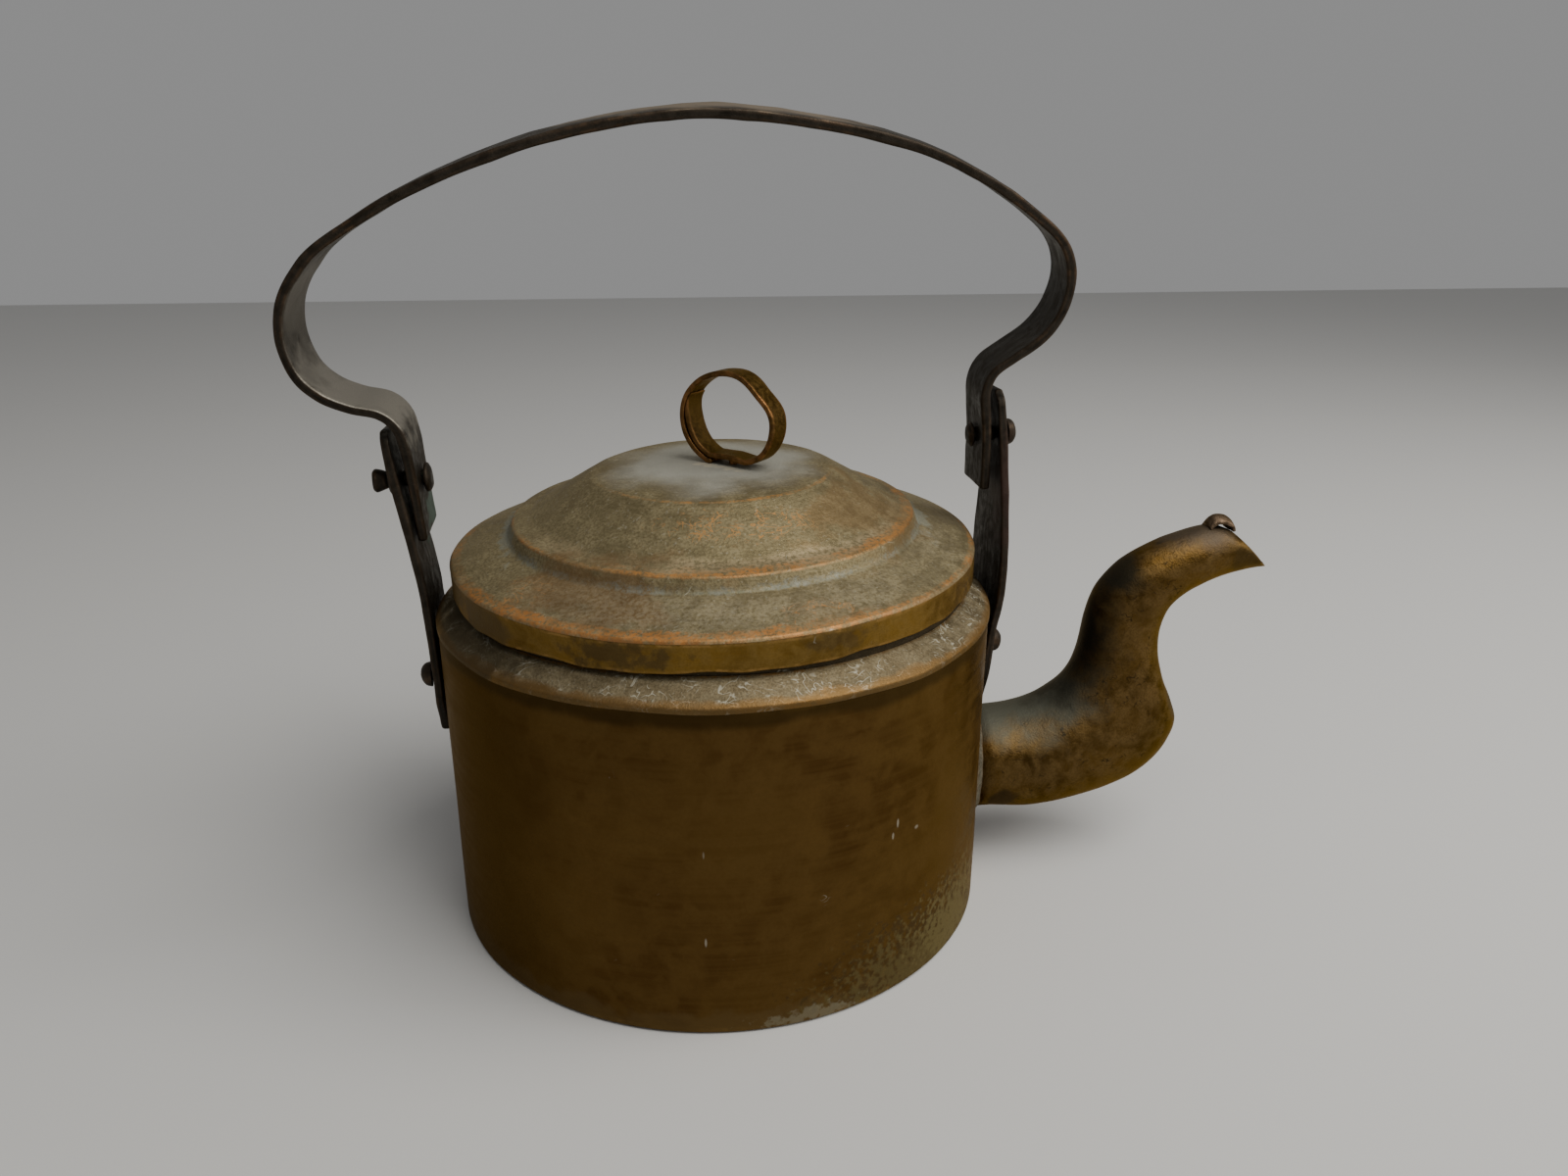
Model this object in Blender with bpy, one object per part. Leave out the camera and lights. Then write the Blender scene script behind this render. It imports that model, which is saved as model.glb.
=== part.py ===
"""Copper kettle with a swinging strap bail, a goose-neck spout and a lift-off stepped lid.

Frame: +Z up, +X towards the spout, origin at the middle of the base, metres.
"""

import math

import bmesh
import bpy
from mathutils import Matrix, Quaternion, Vector

MM = 0.001
GAP = 0.3 * MM
AROUND = 48

# Body
BODY_RADIUS = 120 * MM
SHEET = 1.4 * MM
WALL_TOP = 138.0 * MM
BASE_FLANGE = 12 * MM
SHOULDER_CORNER = 139.8 * MM
SHOULDER_TOP = 146.6 * MM
NECK_RADIUS = 109 * MM
NECK_TOP = 159.8 * MM

# Lid
LID_RADIUS = 112.9 * MM
LID_SHEET = 1.4 * MM
LID_FOLD = 164.3 * MM
SKIRT_BOTTOM = 152.0 * MM
LID_FOOT = (88.5 * MM, 174.0 * MM)
LID_RIDGE = (83.8 * MM, 178.2 * MM)
LID_TERRACE = (77.5 * MM, 180.4 * MM)
LID_CREASE = (51 * MM, 196.0 * MM)
LID_TOP = 199.2 * MM

# Lid ring
RING_PLACE = (8 * MM, -6 * MM)
RING_TURN = math.radians(-38)
RING_HALF_WIDTH = 23.6 * MM
RING_HEIGHT = 38 * MM
RING_DENT = 0.1
RING_STRAP = (11 * MM, 2.3 * MM)
RING_RIVET_HEAD = 3.6 * MM
RING_RIVET_SHANK = 1.8 * MM

# Pivots of the bail: the front one, on the spout's side, stands a little higher
REAR_PIVOT = Vector((-126.5, 0, 195.2)) * MM
FRONT_PIVOT = Vector((119.5, 0, 207.8)) * MM
PIVOT_AXIS = (FRONT_PIVOT - REAR_PIVOT).normalized()
PIVOT_MIDDLE = (FRONT_PIVOT + REAR_PIVOT) / 2
PIVOT_SHANK = 3.0 * MM
PIVOT_HOLE = 3.4 * MM

# Bail
BAIL_LEAN = math.radians(7.6)
BAIL_WIDTH = 27 * MM
BAIL_THICKNESS = 3.9 * MM
BAIL_TWIST = math.radians(4)
BAIL_TWIST_HEIGHTS = (215 * MM, 245 * MM)
BAIL_CHAMFER = 0.9 * MM
BAIL_PATH = (
    (-122.3, 173), (-123.4, 195), (-124.3, 212), (-126.5, 221), (-132.5, 226.8), (-143, 229.5),
    (-153, 234.5), (-160.5, 243), (-163.5, 256), (-161.5, 269), (-155, 280.5), (-141, 293.5),
    (-104, 313.5), (-58, 329.5), (-8, 337.4), (34, 335.2), (77, 326.6), (108, 314), (131, 299.6),
    (142, 289), (146, 276.5), (144, 263.5), (137, 252.8), (126, 244.6), (117.6, 238.2),
    (114.4, 230), (115.2, 220), (116.4, 207.8), (117.6, 186),
)

# Ears: height, middle of the plate, full width; the foot of each lies on the wall
REAR_EAR = (
    (82, 122.4, 9), (90, 122.4, 19), (100, 122.4, 34), (111, 122.4, 40), (121, 122.4, 38),
    (133, 122.4, 36), (147, 123.0, 34), (160, 124.6, 32), (172, 126.5, 30), (184, 128.6, 28),
    (195.2, 130.4, 27), (206, 131.9, 26), (213, 132.7, 24), (216, 133.0, 18),
)
FRONT_EAR = (
    (80, 122.6, 9), (89, 122.6, 19), (101, 122.6, 36), (114, 122.6, 44), (124, 122.9, 45),
    (135, 123.9, 46), (148, 124.8, 45), (163, 125.1, 42), (178, 125.0, 37), (193, 124.6, 31),
    (207.8, 123.9, 27), (218, 123.0, 25), (224, 122.4, 23), (227, 122.1, 16),
)
EAR_THICKNESS = 3.6 * MM
EAR_RIVET_SHANK = 2.4 * MM
EAR_RIVET_HEAD = 5.4 * MM
EAR_RIVET_SPREAD = 12 * MM
REAR_RIVET_HEIGHT = 111.5 * MM
FRONT_RIVET_HEIGHT = 115 * MM

# Spout: top and bottom of the tube as x, z pairs, and half its breadth, outwards along it
SPOUT_SHEET = 1.5 * MM
SPOUT_ROOT_HEIGHT = 49.6 * MM
SPOUT_ROOT_RADIUS = 24.4 * MM
SPOUT_HOLE = 20.5 * MM
SPOUT_AROUND = 24
SPOUT_STATIONS = (
    (128, 74.0, 128.8, 25.2, 24.4), (142, 75.4, 148, 24.0, 25.0), (153, 78.4, 168, 26.4, 25.2),
    (160.5, 83, 186, 30.4, 24.8), (165, 87.6, 202, 37, 24.0), (168, 92.5, 213.5, 45.5, 22.8),
    (170, 97.5, 220.3, 56, 21.4), (171.2, 102.5, 222.4, 65, 20.0), (172, 108, 219.5, 75, 18.4),
    (172.8, 114, 214.5, 86, 17.0), (173.8, 120.5, 210.8, 97, 16.2), (175.6, 127.5, 209.3, 107.5, 15.8),
    (179, 135, 210, 116, 15.4), (185, 142.4, 213, 123.6, 15.0), (193, 148.8, 219, 129.5, 14.4),
    (202.5, 153.8, 227, 134, 13.8), (213, 157.8, 236.5, 137.4, 13.2), (223, 160.8, 245.5, 139.6, 12.6),
    (231.5, 161.8, 251.5, 140.8, 12.2), (239.3, 159.2, 256.3, 141.2, 12.0),
)
FLANGE_WIDTH = 4.0 * MM
FLANGE_SHEET = 1.4 * MM
TAB_PLACE = (233.5 * MM, 164.9 * MM)
TAB_SIZE = (11 * MM, 9 * MM, 1.5 * MM)


def clear_scene():
    for obj in list(bpy.data.objects):
        bpy.data.objects.remove(obj, do_unlink=True)


def material(name, colour, roughness, metallic):
    found = bpy.data.materials.get(name)
    if found:
        return found
    made = bpy.data.materials.new(name)
    made.use_nodes = True
    shader = made.node_tree.nodes["Principled BSDF"]
    shader.inputs["Base Color"].default_value = (*colour, 1)
    shader.inputs["Roughness"].default_value = roughness
    shader.inputs["Metallic"].default_value = metallic
    return made


def wall_copper():
    return material("aged_wall_copper", (0.14, 0.085, 0.032), 0.42, 0.9)


def patina_copper():
    return material("patinated_copper", (0.17, 0.14, 0.095), 0.6, 0.7)


def bright_copper():
    return material("rubbed_copper", (0.27, 0.16, 0.055), 0.4, 0.9)


def dark_bronze():
    return material("dark_handle_copper", (0.07, 0.055, 0.045), 0.5, 0.8)


def add_object(name, mesh_maker, finish, shade_angle=40):
    """Makes one object from a bmesh, with its faces turned outwards."""
    bmesh.ops.remove_doubles(mesh_maker, verts=mesh_maker.verts, dist=1e-7)
    bmesh.ops.recalc_face_normals(mesh_maker, faces=mesh_maker.faces)
    mesh = bpy.data.meshes.new(name)
    mesh_maker.to_mesh(mesh)
    mesh_maker.free()
    mesh.materials.append(finish)
    mesh.shade_smooth()
    mesh.set_sharp_from_angle(angle=math.radians(shade_angle))
    obj = bpy.data.objects.new(name, mesh)
    bpy.context.scene.collection.objects.link(obj)
    return obj


def turned_mesh(outline, steps=AROUND):
    """Spins a closed outline of (radius, height) points about Z."""
    made = bmesh.new()
    corners = [made.verts.new((radius, 0, height)) for radius, height in outline]
    edges = []
    for index, corner in enumerate(corners):
        following = corners[(index + 1) % len(corners)]
        if corner.co.x > 0 or following.co.x > 0:
            edges.append(made.edges.new((corner, following)))
    bmesh.ops.spin(
        made,
        geom=corners + edges,
        cent=(0, 0, 0),
        axis=(0, 0, 1),
        dvec=(0, 0, 0),
        angle=math.tau,
        steps=steps,
        use_merge=True,
    )
    return made


def turned(name, outline, finish, steps=AROUND):
    return add_object(name, turned_mesh(outline, steps), finish)


def skin_rings(rings, closed_ends=True):
    """Joins rings of equal length into one closed surface, capped or joined end to end."""
    made = bmesh.new()
    loops = [[made.verts.new(point) for point in ring] for ring in rings]
    pairs = list(zip(loops, loops[1:]))
    if not closed_ends:
        pairs.append((loops[-1], loops[0]))
    for near, far in pairs:
        for index in range(len(near)):
            after = (index + 1) % len(near)
            made.faces.new((near[index], near[after], far[after], far[index]))
    if closed_ends:
        made.faces.new(loops[0])
        made.faces.new(loops[-1])
    return made


def smooth_path(points, per_span):
    """Catmull-Rom curve through points of any dimension."""
    knots = [Vector(point) for point in points]
    padded = [2 * knots[0] - knots[1], *knots, 2 * knots[-1] - knots[-2]]
    path = []
    for before, start, end, after in zip(padded, padded[1:], padded[2:], padded[3:]):
        for step in range(per_span):
            t = step / per_span
            path.append(
                0.5
                * (
                    2 * start
                    + (end - before) * t
                    + (2 * before - 5 * start + 4 * end - after) * t**2
                    + (3 * start - before - 3 * end + after) * t**3
                )
            )
    path.append(knots[-1])
    return path


def tangents(path):
    last = len(path) - 1
    return [(path[min(i + 1, last)] - path[max(i - 1, 0)]).normalized() for i in range(last + 1)]


def strap_section(width, thickness, chamfer):
    """Corners of a flat strap as (across, along Y), with its edges taken off."""
    a, b = thickness / 2, width / 2
    cut_a, cut_b = a - chamfer, b - chamfer
    return (
        (a, -cut_b), (a, cut_b), (cut_a, b), (-cut_a, b),
        (-a, cut_b), (-a, -cut_b), (-cut_a, -b), (cut_a, -b),
    )


def cutter(name, mesh_maker):
    obj = add_object(name, mesh_maker, dark_bronze())
    obj.hide_render = True
    obj.display_type = "WIRE"
    return obj


def rod_mesh(radius, start, end, steps=20):
    """A closed round rod between two points."""
    span = end - start
    made = bmesh.new()
    bmesh.ops.create_cone(
        made,
        cap_ends=True,
        segments=steps,
        radius1=radius,
        radius2=radius,
        depth=span.length,
        matrix=Matrix.Translation((start + end) / 2) @ span.to_track_quat("Z", "X").to_matrix().to_4x4(),
    )
    return made


def drill(obj, hole):
    cut = obj.modifiers.new(hole.name, "BOOLEAN")
    cut.operation = "DIFFERENCE"
    cut.object = hole


def body_wall():
    inner = BODY_RADIUS - SHEET
    outline = ((BODY_RADIUS, 0), (BODY_RADIUS, WALL_TOP), (inner, WALL_TOP), (inner, 0))
    wall = turned("body_wall", outline, wall_copper())
    height = Vector((0, 0, SPOUT_ROOT_HEIGHT))
    reach = Vector((BODY_RADIUS, 0, 0))
    drill(wall, cutter("spout_hole", rod_mesh(SPOUT_HOLE, reach * 0.8 + height, reach * 1.2 + height, 24)))
    return wall


def base_plate():
    rim = BODY_RADIUS - SHEET - GAP
    inner = rim - SHEET
    outline = (
        (0, 0), (rim - 1.5 * MM, 0), (rim, 1.5 * MM), (rim, BASE_FLANGE), (inner, BASE_FLANGE),
        (inner, SHEET + MM), (inner - MM, SHEET), (0, SHEET),
    )
    return turned("base_plate", outline, wall_copper())


def shoulder_plate():
    seat = WALL_TOP + GAP
    root = NECK_RADIUS + GAP
    outline = (
        (BODY_RADIUS, seat), (BODY_RADIUS, SHOULDER_CORNER - 0.8 * MM),
        (BODY_RADIUS - 0.9 * MM, SHOULDER_CORNER),
        (BODY_RADIUS - 5 * MM, SHOULDER_CORNER + 3.4 * MM), (root, SHOULDER_TOP),
        (root, SHOULDER_TOP - SHEET), (BODY_RADIUS - 5.5 * MM, SHOULDER_CORNER + 1.6 * MM),
        (BODY_RADIUS - 3.2 * MM, seat),
    )
    return turned("shoulder_plate", outline, patina_copper())


def neck_collar():
    inner = NECK_RADIUS - SHEET
    foot = SHOULDER_TOP - 6.5 * MM
    outline = ((NECK_RADIUS, foot), (NECK_RADIUS, NECK_TOP), (inner, NECK_TOP), (inner, foot))
    return turned("neck_collar", outline, patina_copper())


def lid_crown():
    upper = [
        (LID_RADIUS, LID_FOLD - 0.6 * MM), (LID_RADIUS - 0.7 * MM, LID_FOLD + 0.3 * MM),
        (101 * MM, 168.4 * MM), LID_FOOT, LID_RIDGE, LID_TERRACE, (65 * MM, 188.2 * MM),
        LID_CREASE, (30 * MM, 198.2 * MM), (0, LID_TOP),
    ]
    lower = [(radius, height - LID_SHEET) for radius, height in reversed(upper[1:])]
    return turned("lid_crown", upper + lower, patina_copper())


def lid_skirt():
    top = LID_FOLD - LID_SHEET - GAP
    outer = LID_RADIUS
    inner = outer - LID_SHEET
    outline = (
        (outer, SKIRT_BOTTOM), (outer, top - 0.9 * MM), (outer - 0.4 * MM, top),
        (inner, top), (inner, SKIRT_BOTTOM),
    )
    return turned("lid_skirt", outline, bright_copper())


def ring_outline(half_width, height, steps=28):
    """The finger ring from the side: flat on the lid, round above, and pressed in at one shoulder."""
    start = math.radians(25)
    points = []
    for step in range(steps + 1):
        angle = start + (math.tau - 2 * start) * step / steps
        reach = 1 - RING_DENT * math.exp(-(((angle - math.radians(132)) / 0.4) ** 2))
        drop = math.cos(angle) / math.cos(start)
        points.append((half_width * reach * math.sin(angle), height / 2 * (1 - reach * drop)))
    return [(x, max(z, 0)) for x, z in points]


def lid_ring():
    seat = LID_TOP + GAP
    width, thickness = RING_STRAP
    outer = ring_outline(RING_HALF_WIDTH, RING_HEIGHT)
    inner = ring_outline(RING_HALF_WIDTH - thickness, RING_HEIGHT - 2 * thickness)
    sides = []
    for side in (-width / 2, width / 2):
        sides.append([(x, side, z) for x, z in outer])
        sides.append([(x, side, z + thickness) for x, z in inner])
    made = bmesh.new()
    outer_near, inner_near, outer_far, inner_far = (
        [made.verts.new(point) for point in ring] for ring in sides
    )
    count = len(outer_near)
    for index in range(count):
        after = (index + 1) % count
        made.faces.new((outer_near[index], outer_near[after], inner_near[after], inner_near[index]))
        made.faces.new((outer_far[index], outer_far[after], inner_far[after], inner_far[index]))
        made.faces.new((outer_near[index], outer_near[after], outer_far[after], outer_far[index]))
        made.faces.new((inner_near[index], inner_near[after], inner_far[after], inner_far[index]))
    ring = add_object("lid_ring", made, bright_copper())
    ring.location = (*RING_PLACE, seat)
    ring.rotation_euler = (0, 0, RING_TURN)
    return ring


def lid_ring_rivet(crown, ring):
    """Through the ring's foot and the lid, with a low head above and a clenched end below."""
    thickness = RING_STRAP[1]
    base = LID_TOP + GAP + thickness + GAP
    under = LID_TOP - LID_SHEET - 1.0 * MM
    head, shank = RING_RIVET_HEAD, RING_RIVET_SHANK
    outline = (
        (0, under - 1.6 * MM), (head * 0.7, under - 1.3 * MM), (head, under), (shank, under), (shank, base),
        (head, base), (head * 0.75, base + 1.3 * MM), (0, base + 1.8 * MM),
    )
    rivet = turned("lid_ring_rivet", outline, bright_copper(), 20)
    rivet.location = (*RING_PLACE, 0)
    place = Vector((*RING_PLACE, 0))
    hole = cutter(
        "ring_rivet_hole",
        rod_mesh(shank + GAP, place + Vector((0, 0, under)), place + Vector((0, 0, base + MM))),
    )
    drill(crown, hole)
    drill(ring, hole)
    return rivet


def bail():
    """The handle strap, leaning at rest, with its origin on the pivot axis."""
    path = smooth_path([Vector((x, 0, z)) * MM for x, z in BAIL_PATH], 3)
    section = strap_section(BAIL_WIDTH, BAIL_THICKNESS, BAIL_CHAMFER)
    rings = []
    low, high = BAIL_TWIST_HEIGHTS
    for point, along in zip(path, tangents(path)):
        across = Vector((along.z, 0, -along.x))
        twist = BAIL_TWIST * min(1, max(0, (point.z - low) / (high - low)))
        broad = Vector((math.sin(twist), math.cos(twist), 0))
        rings.append([point + across * a + broad * b - PIVOT_MIDDLE for a, b in section])
    strap = add_object("bail", skin_rings(rings), dark_bronze())
    strap.location = PIVOT_MIDDLE
    strap.rotation_mode = "QUATERNION"
    strap.rotation_quaternion = Quaternion(PIVOT_AXIS, BAIL_LEAN)
    return strap


def ear(name, side, stations):
    """A forged ear, hollowed below to the wall's curve and flat above. side is 1 in front, -1 behind."""
    across_steps = 6
    rings = []
    for height, middle, width in smooth_path(stations, 2):
        bedding = min(1, max(0, (140 - height) / 30))
        inner_row = []
        outer_row = []
        for step in range(across_steps + 1):
            y = (step / across_steps - 0.5) * width * MM
            sag = BODY_RADIUS - math.sqrt(BODY_RADIUS**2 - y**2)
            x = middle * MM - bedding * sag
            edge = 0.35 * MM if step in (0, across_steps) else 0
            inner_row.append((side * (x - EAR_THICKNESS / 2 + edge), y, height * MM))
            outer_row.append((side * (x + EAR_THICKNESS / 2 - edge), y, height * MM))
        rings.append(inner_row + outer_row[::-1])
    return add_object(name, skin_rings(rings), dark_bronze())


def rivet(name, outline, start, direction, finish, steps=20):
    """A rivet whose outline runs along its shank, which starts at a point and goes one way."""
    obj = turned(name, outline, finish, steps)
    obj.location = start
    obj.rotation_mode = "QUATERNION"
    obj.rotation_quaternion = direction.to_track_quat("Z", "X")
    return obj


def ear_rivets(name, side, height, plate, wall):
    """Two rivets side by side through an ear and the wall, domed outside and clenched inside."""
    head, shank = EAR_RIVET_HEAD, EAR_RIVET_SHANK
    for number, across in enumerate((-EAR_RIVET_SPREAD, EAR_RIVET_SPREAD), 1):
        out = Vector((side * math.sqrt(BODY_RADIUS**2 - across**2), across, 0)).normalized()
        start = out * (BODY_RADIUS - SHEET) + Vector((0, 0, height))
        grip = SHEET + EAR_THICKNESS + 2 * MM
        outline = (
            (0, -2.6 * MM), (head * 0.55, -2.2 * MM), (head * 0.8, -0.9 * MM), (shank, -0.9 * MM),
            (shank, grip), (head, grip), (head * 0.9, grip + 1.8 * MM), (head * 0.55, grip + 3.3 * MM),
            (0, grip + 4.0 * MM),
        )
        rivet(f"{name}_rivet_{number}", outline, start, out, dark_bronze(), 16)
        drill_rod = rod_mesh(shank + GAP, start - out * 4 * MM, start + out * 12 * MM, 16)
        hole = cutter(f"{name}_hole_{number}", drill_rod)
        drill(plate, hole)
        drill(wall, hole)


def pivot_washer(name, place, direction, seat):
    """A forged boss between an ear and the outer head of its pivot rivet."""
    outline = (
        (PIVOT_HOLE, seat), (7.2 * MM, seat), (6.2 * MM, seat + 1.3 * MM), (PIVOT_HOLE, seat + 1.7 * MM),
    )
    return rivet(name, outline, place, direction, dark_bronze())


def pivot_rivets(strap, rear_plate, front_plate):
    """The two loose rivets that the bail swings on, each with a washer outside its ear."""
    shank = PIVOT_SHANK
    rear_outline = (
        (0, -9.0 * MM), (3.6 * MM, -8.8 * MM), (6.0 * MM, -7.6 * MM), (6.0 * MM, -6.4 * MM),
        (shank, -5.9 * MM), (shank, 8.9 * MM), (3.6 * MM, 9.5 * MM), (4.9 * MM, 14.2 * MM),
        (0, 14.6 * MM),
    )
    rivet("pivot_rivet_rear", rear_outline, REAR_PIVOT, -PIVOT_AXIS, dark_bronze())
    pivot_washer("pivot_washer_rear", REAR_PIVOT, -PIVOT_AXIS, 6.7 * MM)
    front_outline = (
        (0, -8.6 * MM), (3.4 * MM, -8.2 * MM), (5.4 * MM, -6.9 * MM), (5.4 * MM, -6.0 * MM),
        (shank, -6.0 * MM), (shank, 9.2 * MM), (5.6 * MM, 9.2 * MM), (5.2 * MM, 11.6 * MM),
        (3.0 * MM, 13.0 * MM), (0, 13.4 * MM),
    )
    rivet("pivot_rivet_front", front_outline, FRONT_PIVOT, PIVOT_AXIS, dark_bronze())
    pivot_washer("pivot_washer_front", FRONT_PIVOT, PIVOT_AXIS, 6.9 * MM)
    reach = PIVOT_AXIS * 16 * MM
    for name, place, plate in (
        ("rear_pivot_hole", REAR_PIVOT, rear_plate),
        ("front_pivot_hole", FRONT_PIVOT, front_plate),
    ):
        hole = cutter(name, rod_mesh(PIVOT_HOLE, place - reach, place + reach))
        drill(plate, hole)
        drill(strap, hole)


def spout_frames():
    """(middle, half of its height as a vector, half its breadth) along the spout, in metres."""
    frames = []
    for top_x, top_z, bottom_x, bottom_z, half_breadth in smooth_path(SPOUT_STATIONS, 2):
        top = Vector((top_x, 0, top_z)) * MM
        bottom = Vector((bottom_x, 0, bottom_z)) * MM
        frames.append(((top + bottom) / 2, (top - bottom) / 2, half_breadth * MM))
    return frames


def spout_ring(middle, up, half_breadth, inset):
    """One ring of the outer skin, or of the bore where it is set in by the sheet."""
    rise = up - up.normalized() * inset
    side = Vector((0, half_breadth - inset, 0))
    ring = []
    for step in range(SPOUT_AROUND):
        angle = math.tau * step / SPOUT_AROUND
        ring.append(middle + rise * math.cos(angle) + side * math.sin(angle))
    return ring


def root_ring(radius):
    """The spout's first ring, cut to the curve of the wall."""
    seat = BODY_RADIUS + GAP
    ring = []
    for step in range(SPOUT_AROUND):
        angle = math.tau * step / SPOUT_AROUND
        y = radius * math.sin(angle)
        ring.append(Vector((math.sqrt(seat**2 - y**2), y, SPOUT_ROOT_HEIGHT + radius * math.cos(angle))))
    return ring


def spout_tube():
    frames = spout_frames()
    outer = [root_ring(SPOUT_ROOT_RADIUS)]
    inner = [root_ring(SPOUT_ROOT_RADIUS - SPOUT_SHEET)]
    for frame in frames:
        outer.append(spout_ring(*frame, 0))
        inner.append(spout_ring(*frame, SPOUT_SHEET))
    return add_object("spout_tube", skin_rings(outer + inner[::-1], closed_ends=False), bright_copper())


def spout_flange():
    """The soldered collar round the spout's root, dished to the wall."""
    inner = SPOUT_ROOT_RADIUS + GAP
    rings = []
    for radius, lift in (
        (inner, 0), (inner + FLANGE_WIDTH, 0), (inner + FLANGE_WIDTH, FLANGE_SHEET * 0.6),
        (inner + FLANGE_WIDTH * 0.5, FLANGE_SHEET), (inner, FLANGE_SHEET),
    ):
        rings.append([point + Vector((lift, 0, 0)) for point in root_ring(radius)])
    return add_object("spout_flange", skin_rings(rings, closed_ends=False), patina_copper())


def spout_tip_tab():
    """A small tongue of sheet folded over the top of the mouth."""
    length, width, thick = TAB_SIZE
    half = length / 2
    bend = ((-1, -1.2), (-0.5, 0), (0.3, 0.3), (1, -1.6))
    centre = [Vector((half * share, 0, rise * MM)) for share, rise in bend]
    section = strap_section(width, thick, 0.3 * MM)
    rings = []
    for point, along in zip(centre, tangents(centre)):
        across = Vector((along.z, 0, -along.x))
        rings.append([point + across * a + Vector((0, b, 0)) for a, b in section])
    tab = add_object("spout_tip_tab", skin_rings(rings), dark_bronze())
    tab.location = (TAB_PLACE[0], 0, TAB_PLACE[1])
    return tab


def main():
    clear_scene()
    wall = body_wall()
    base_plate()
    shoulder_plate()
    neck_collar()
    crown = lid_crown()
    lid_skirt()
    ring = lid_ring()
    lid_ring_rivet(crown, ring)
    strap = bail()
    rear_plate = ear("ear_rear", -1, REAR_EAR)
    front_plate = ear("ear_front", 1, FRONT_EAR)
    ear_rivets("rear", -1, REAR_RIVET_HEIGHT, rear_plate, wall)
    ear_rivets("front", 1, FRONT_RIVET_HEIGHT, front_plate, wall)
    pivot_rivets(strap, rear_plate, front_plate)
    spout_tube()
    spout_flange()
    spout_tip_tab()


main()
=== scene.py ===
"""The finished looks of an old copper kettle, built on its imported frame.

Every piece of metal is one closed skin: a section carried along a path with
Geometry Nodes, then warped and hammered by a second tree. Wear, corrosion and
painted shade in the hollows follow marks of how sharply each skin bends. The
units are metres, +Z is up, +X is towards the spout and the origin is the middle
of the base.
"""

import logging
import math
from collections.abc import Callable, Sequence
from dataclasses import dataclass, field, replace
from enum import Enum

import bmesh
import bpy
import numpy as np
from mathutils import Euler, Matrix, Quaternion, Vector

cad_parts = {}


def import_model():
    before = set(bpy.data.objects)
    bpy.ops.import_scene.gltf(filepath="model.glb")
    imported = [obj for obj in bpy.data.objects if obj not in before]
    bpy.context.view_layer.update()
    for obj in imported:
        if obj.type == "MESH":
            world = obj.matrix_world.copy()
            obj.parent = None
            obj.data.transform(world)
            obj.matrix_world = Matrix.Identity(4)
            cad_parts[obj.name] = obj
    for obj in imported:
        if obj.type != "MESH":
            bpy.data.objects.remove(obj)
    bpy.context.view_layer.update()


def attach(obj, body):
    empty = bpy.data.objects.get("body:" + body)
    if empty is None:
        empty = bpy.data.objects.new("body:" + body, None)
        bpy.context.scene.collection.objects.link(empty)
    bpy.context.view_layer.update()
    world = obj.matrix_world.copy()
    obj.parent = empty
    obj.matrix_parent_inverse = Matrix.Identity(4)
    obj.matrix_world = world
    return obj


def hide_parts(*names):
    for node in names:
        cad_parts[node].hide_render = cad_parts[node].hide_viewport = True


LOG = logging.getLogger("kettle")
MM = 0.001
RING_TURN = math.radians(-38)
ORIGIN = (0.0, 0.0, 0.0)
UP = Vector((0, 0, 1))
SIDEWAYS = Vector((0, 1, 0))
Colour = tuple[float, float, float]
Socket = bpy.types.NodeSocket
Sockets = bpy.types.bpy_prop_collection
Shaper = Callable[[np.ndarray], np.ndarray]


# ---------------------------------------------------------------- node trees


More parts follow.
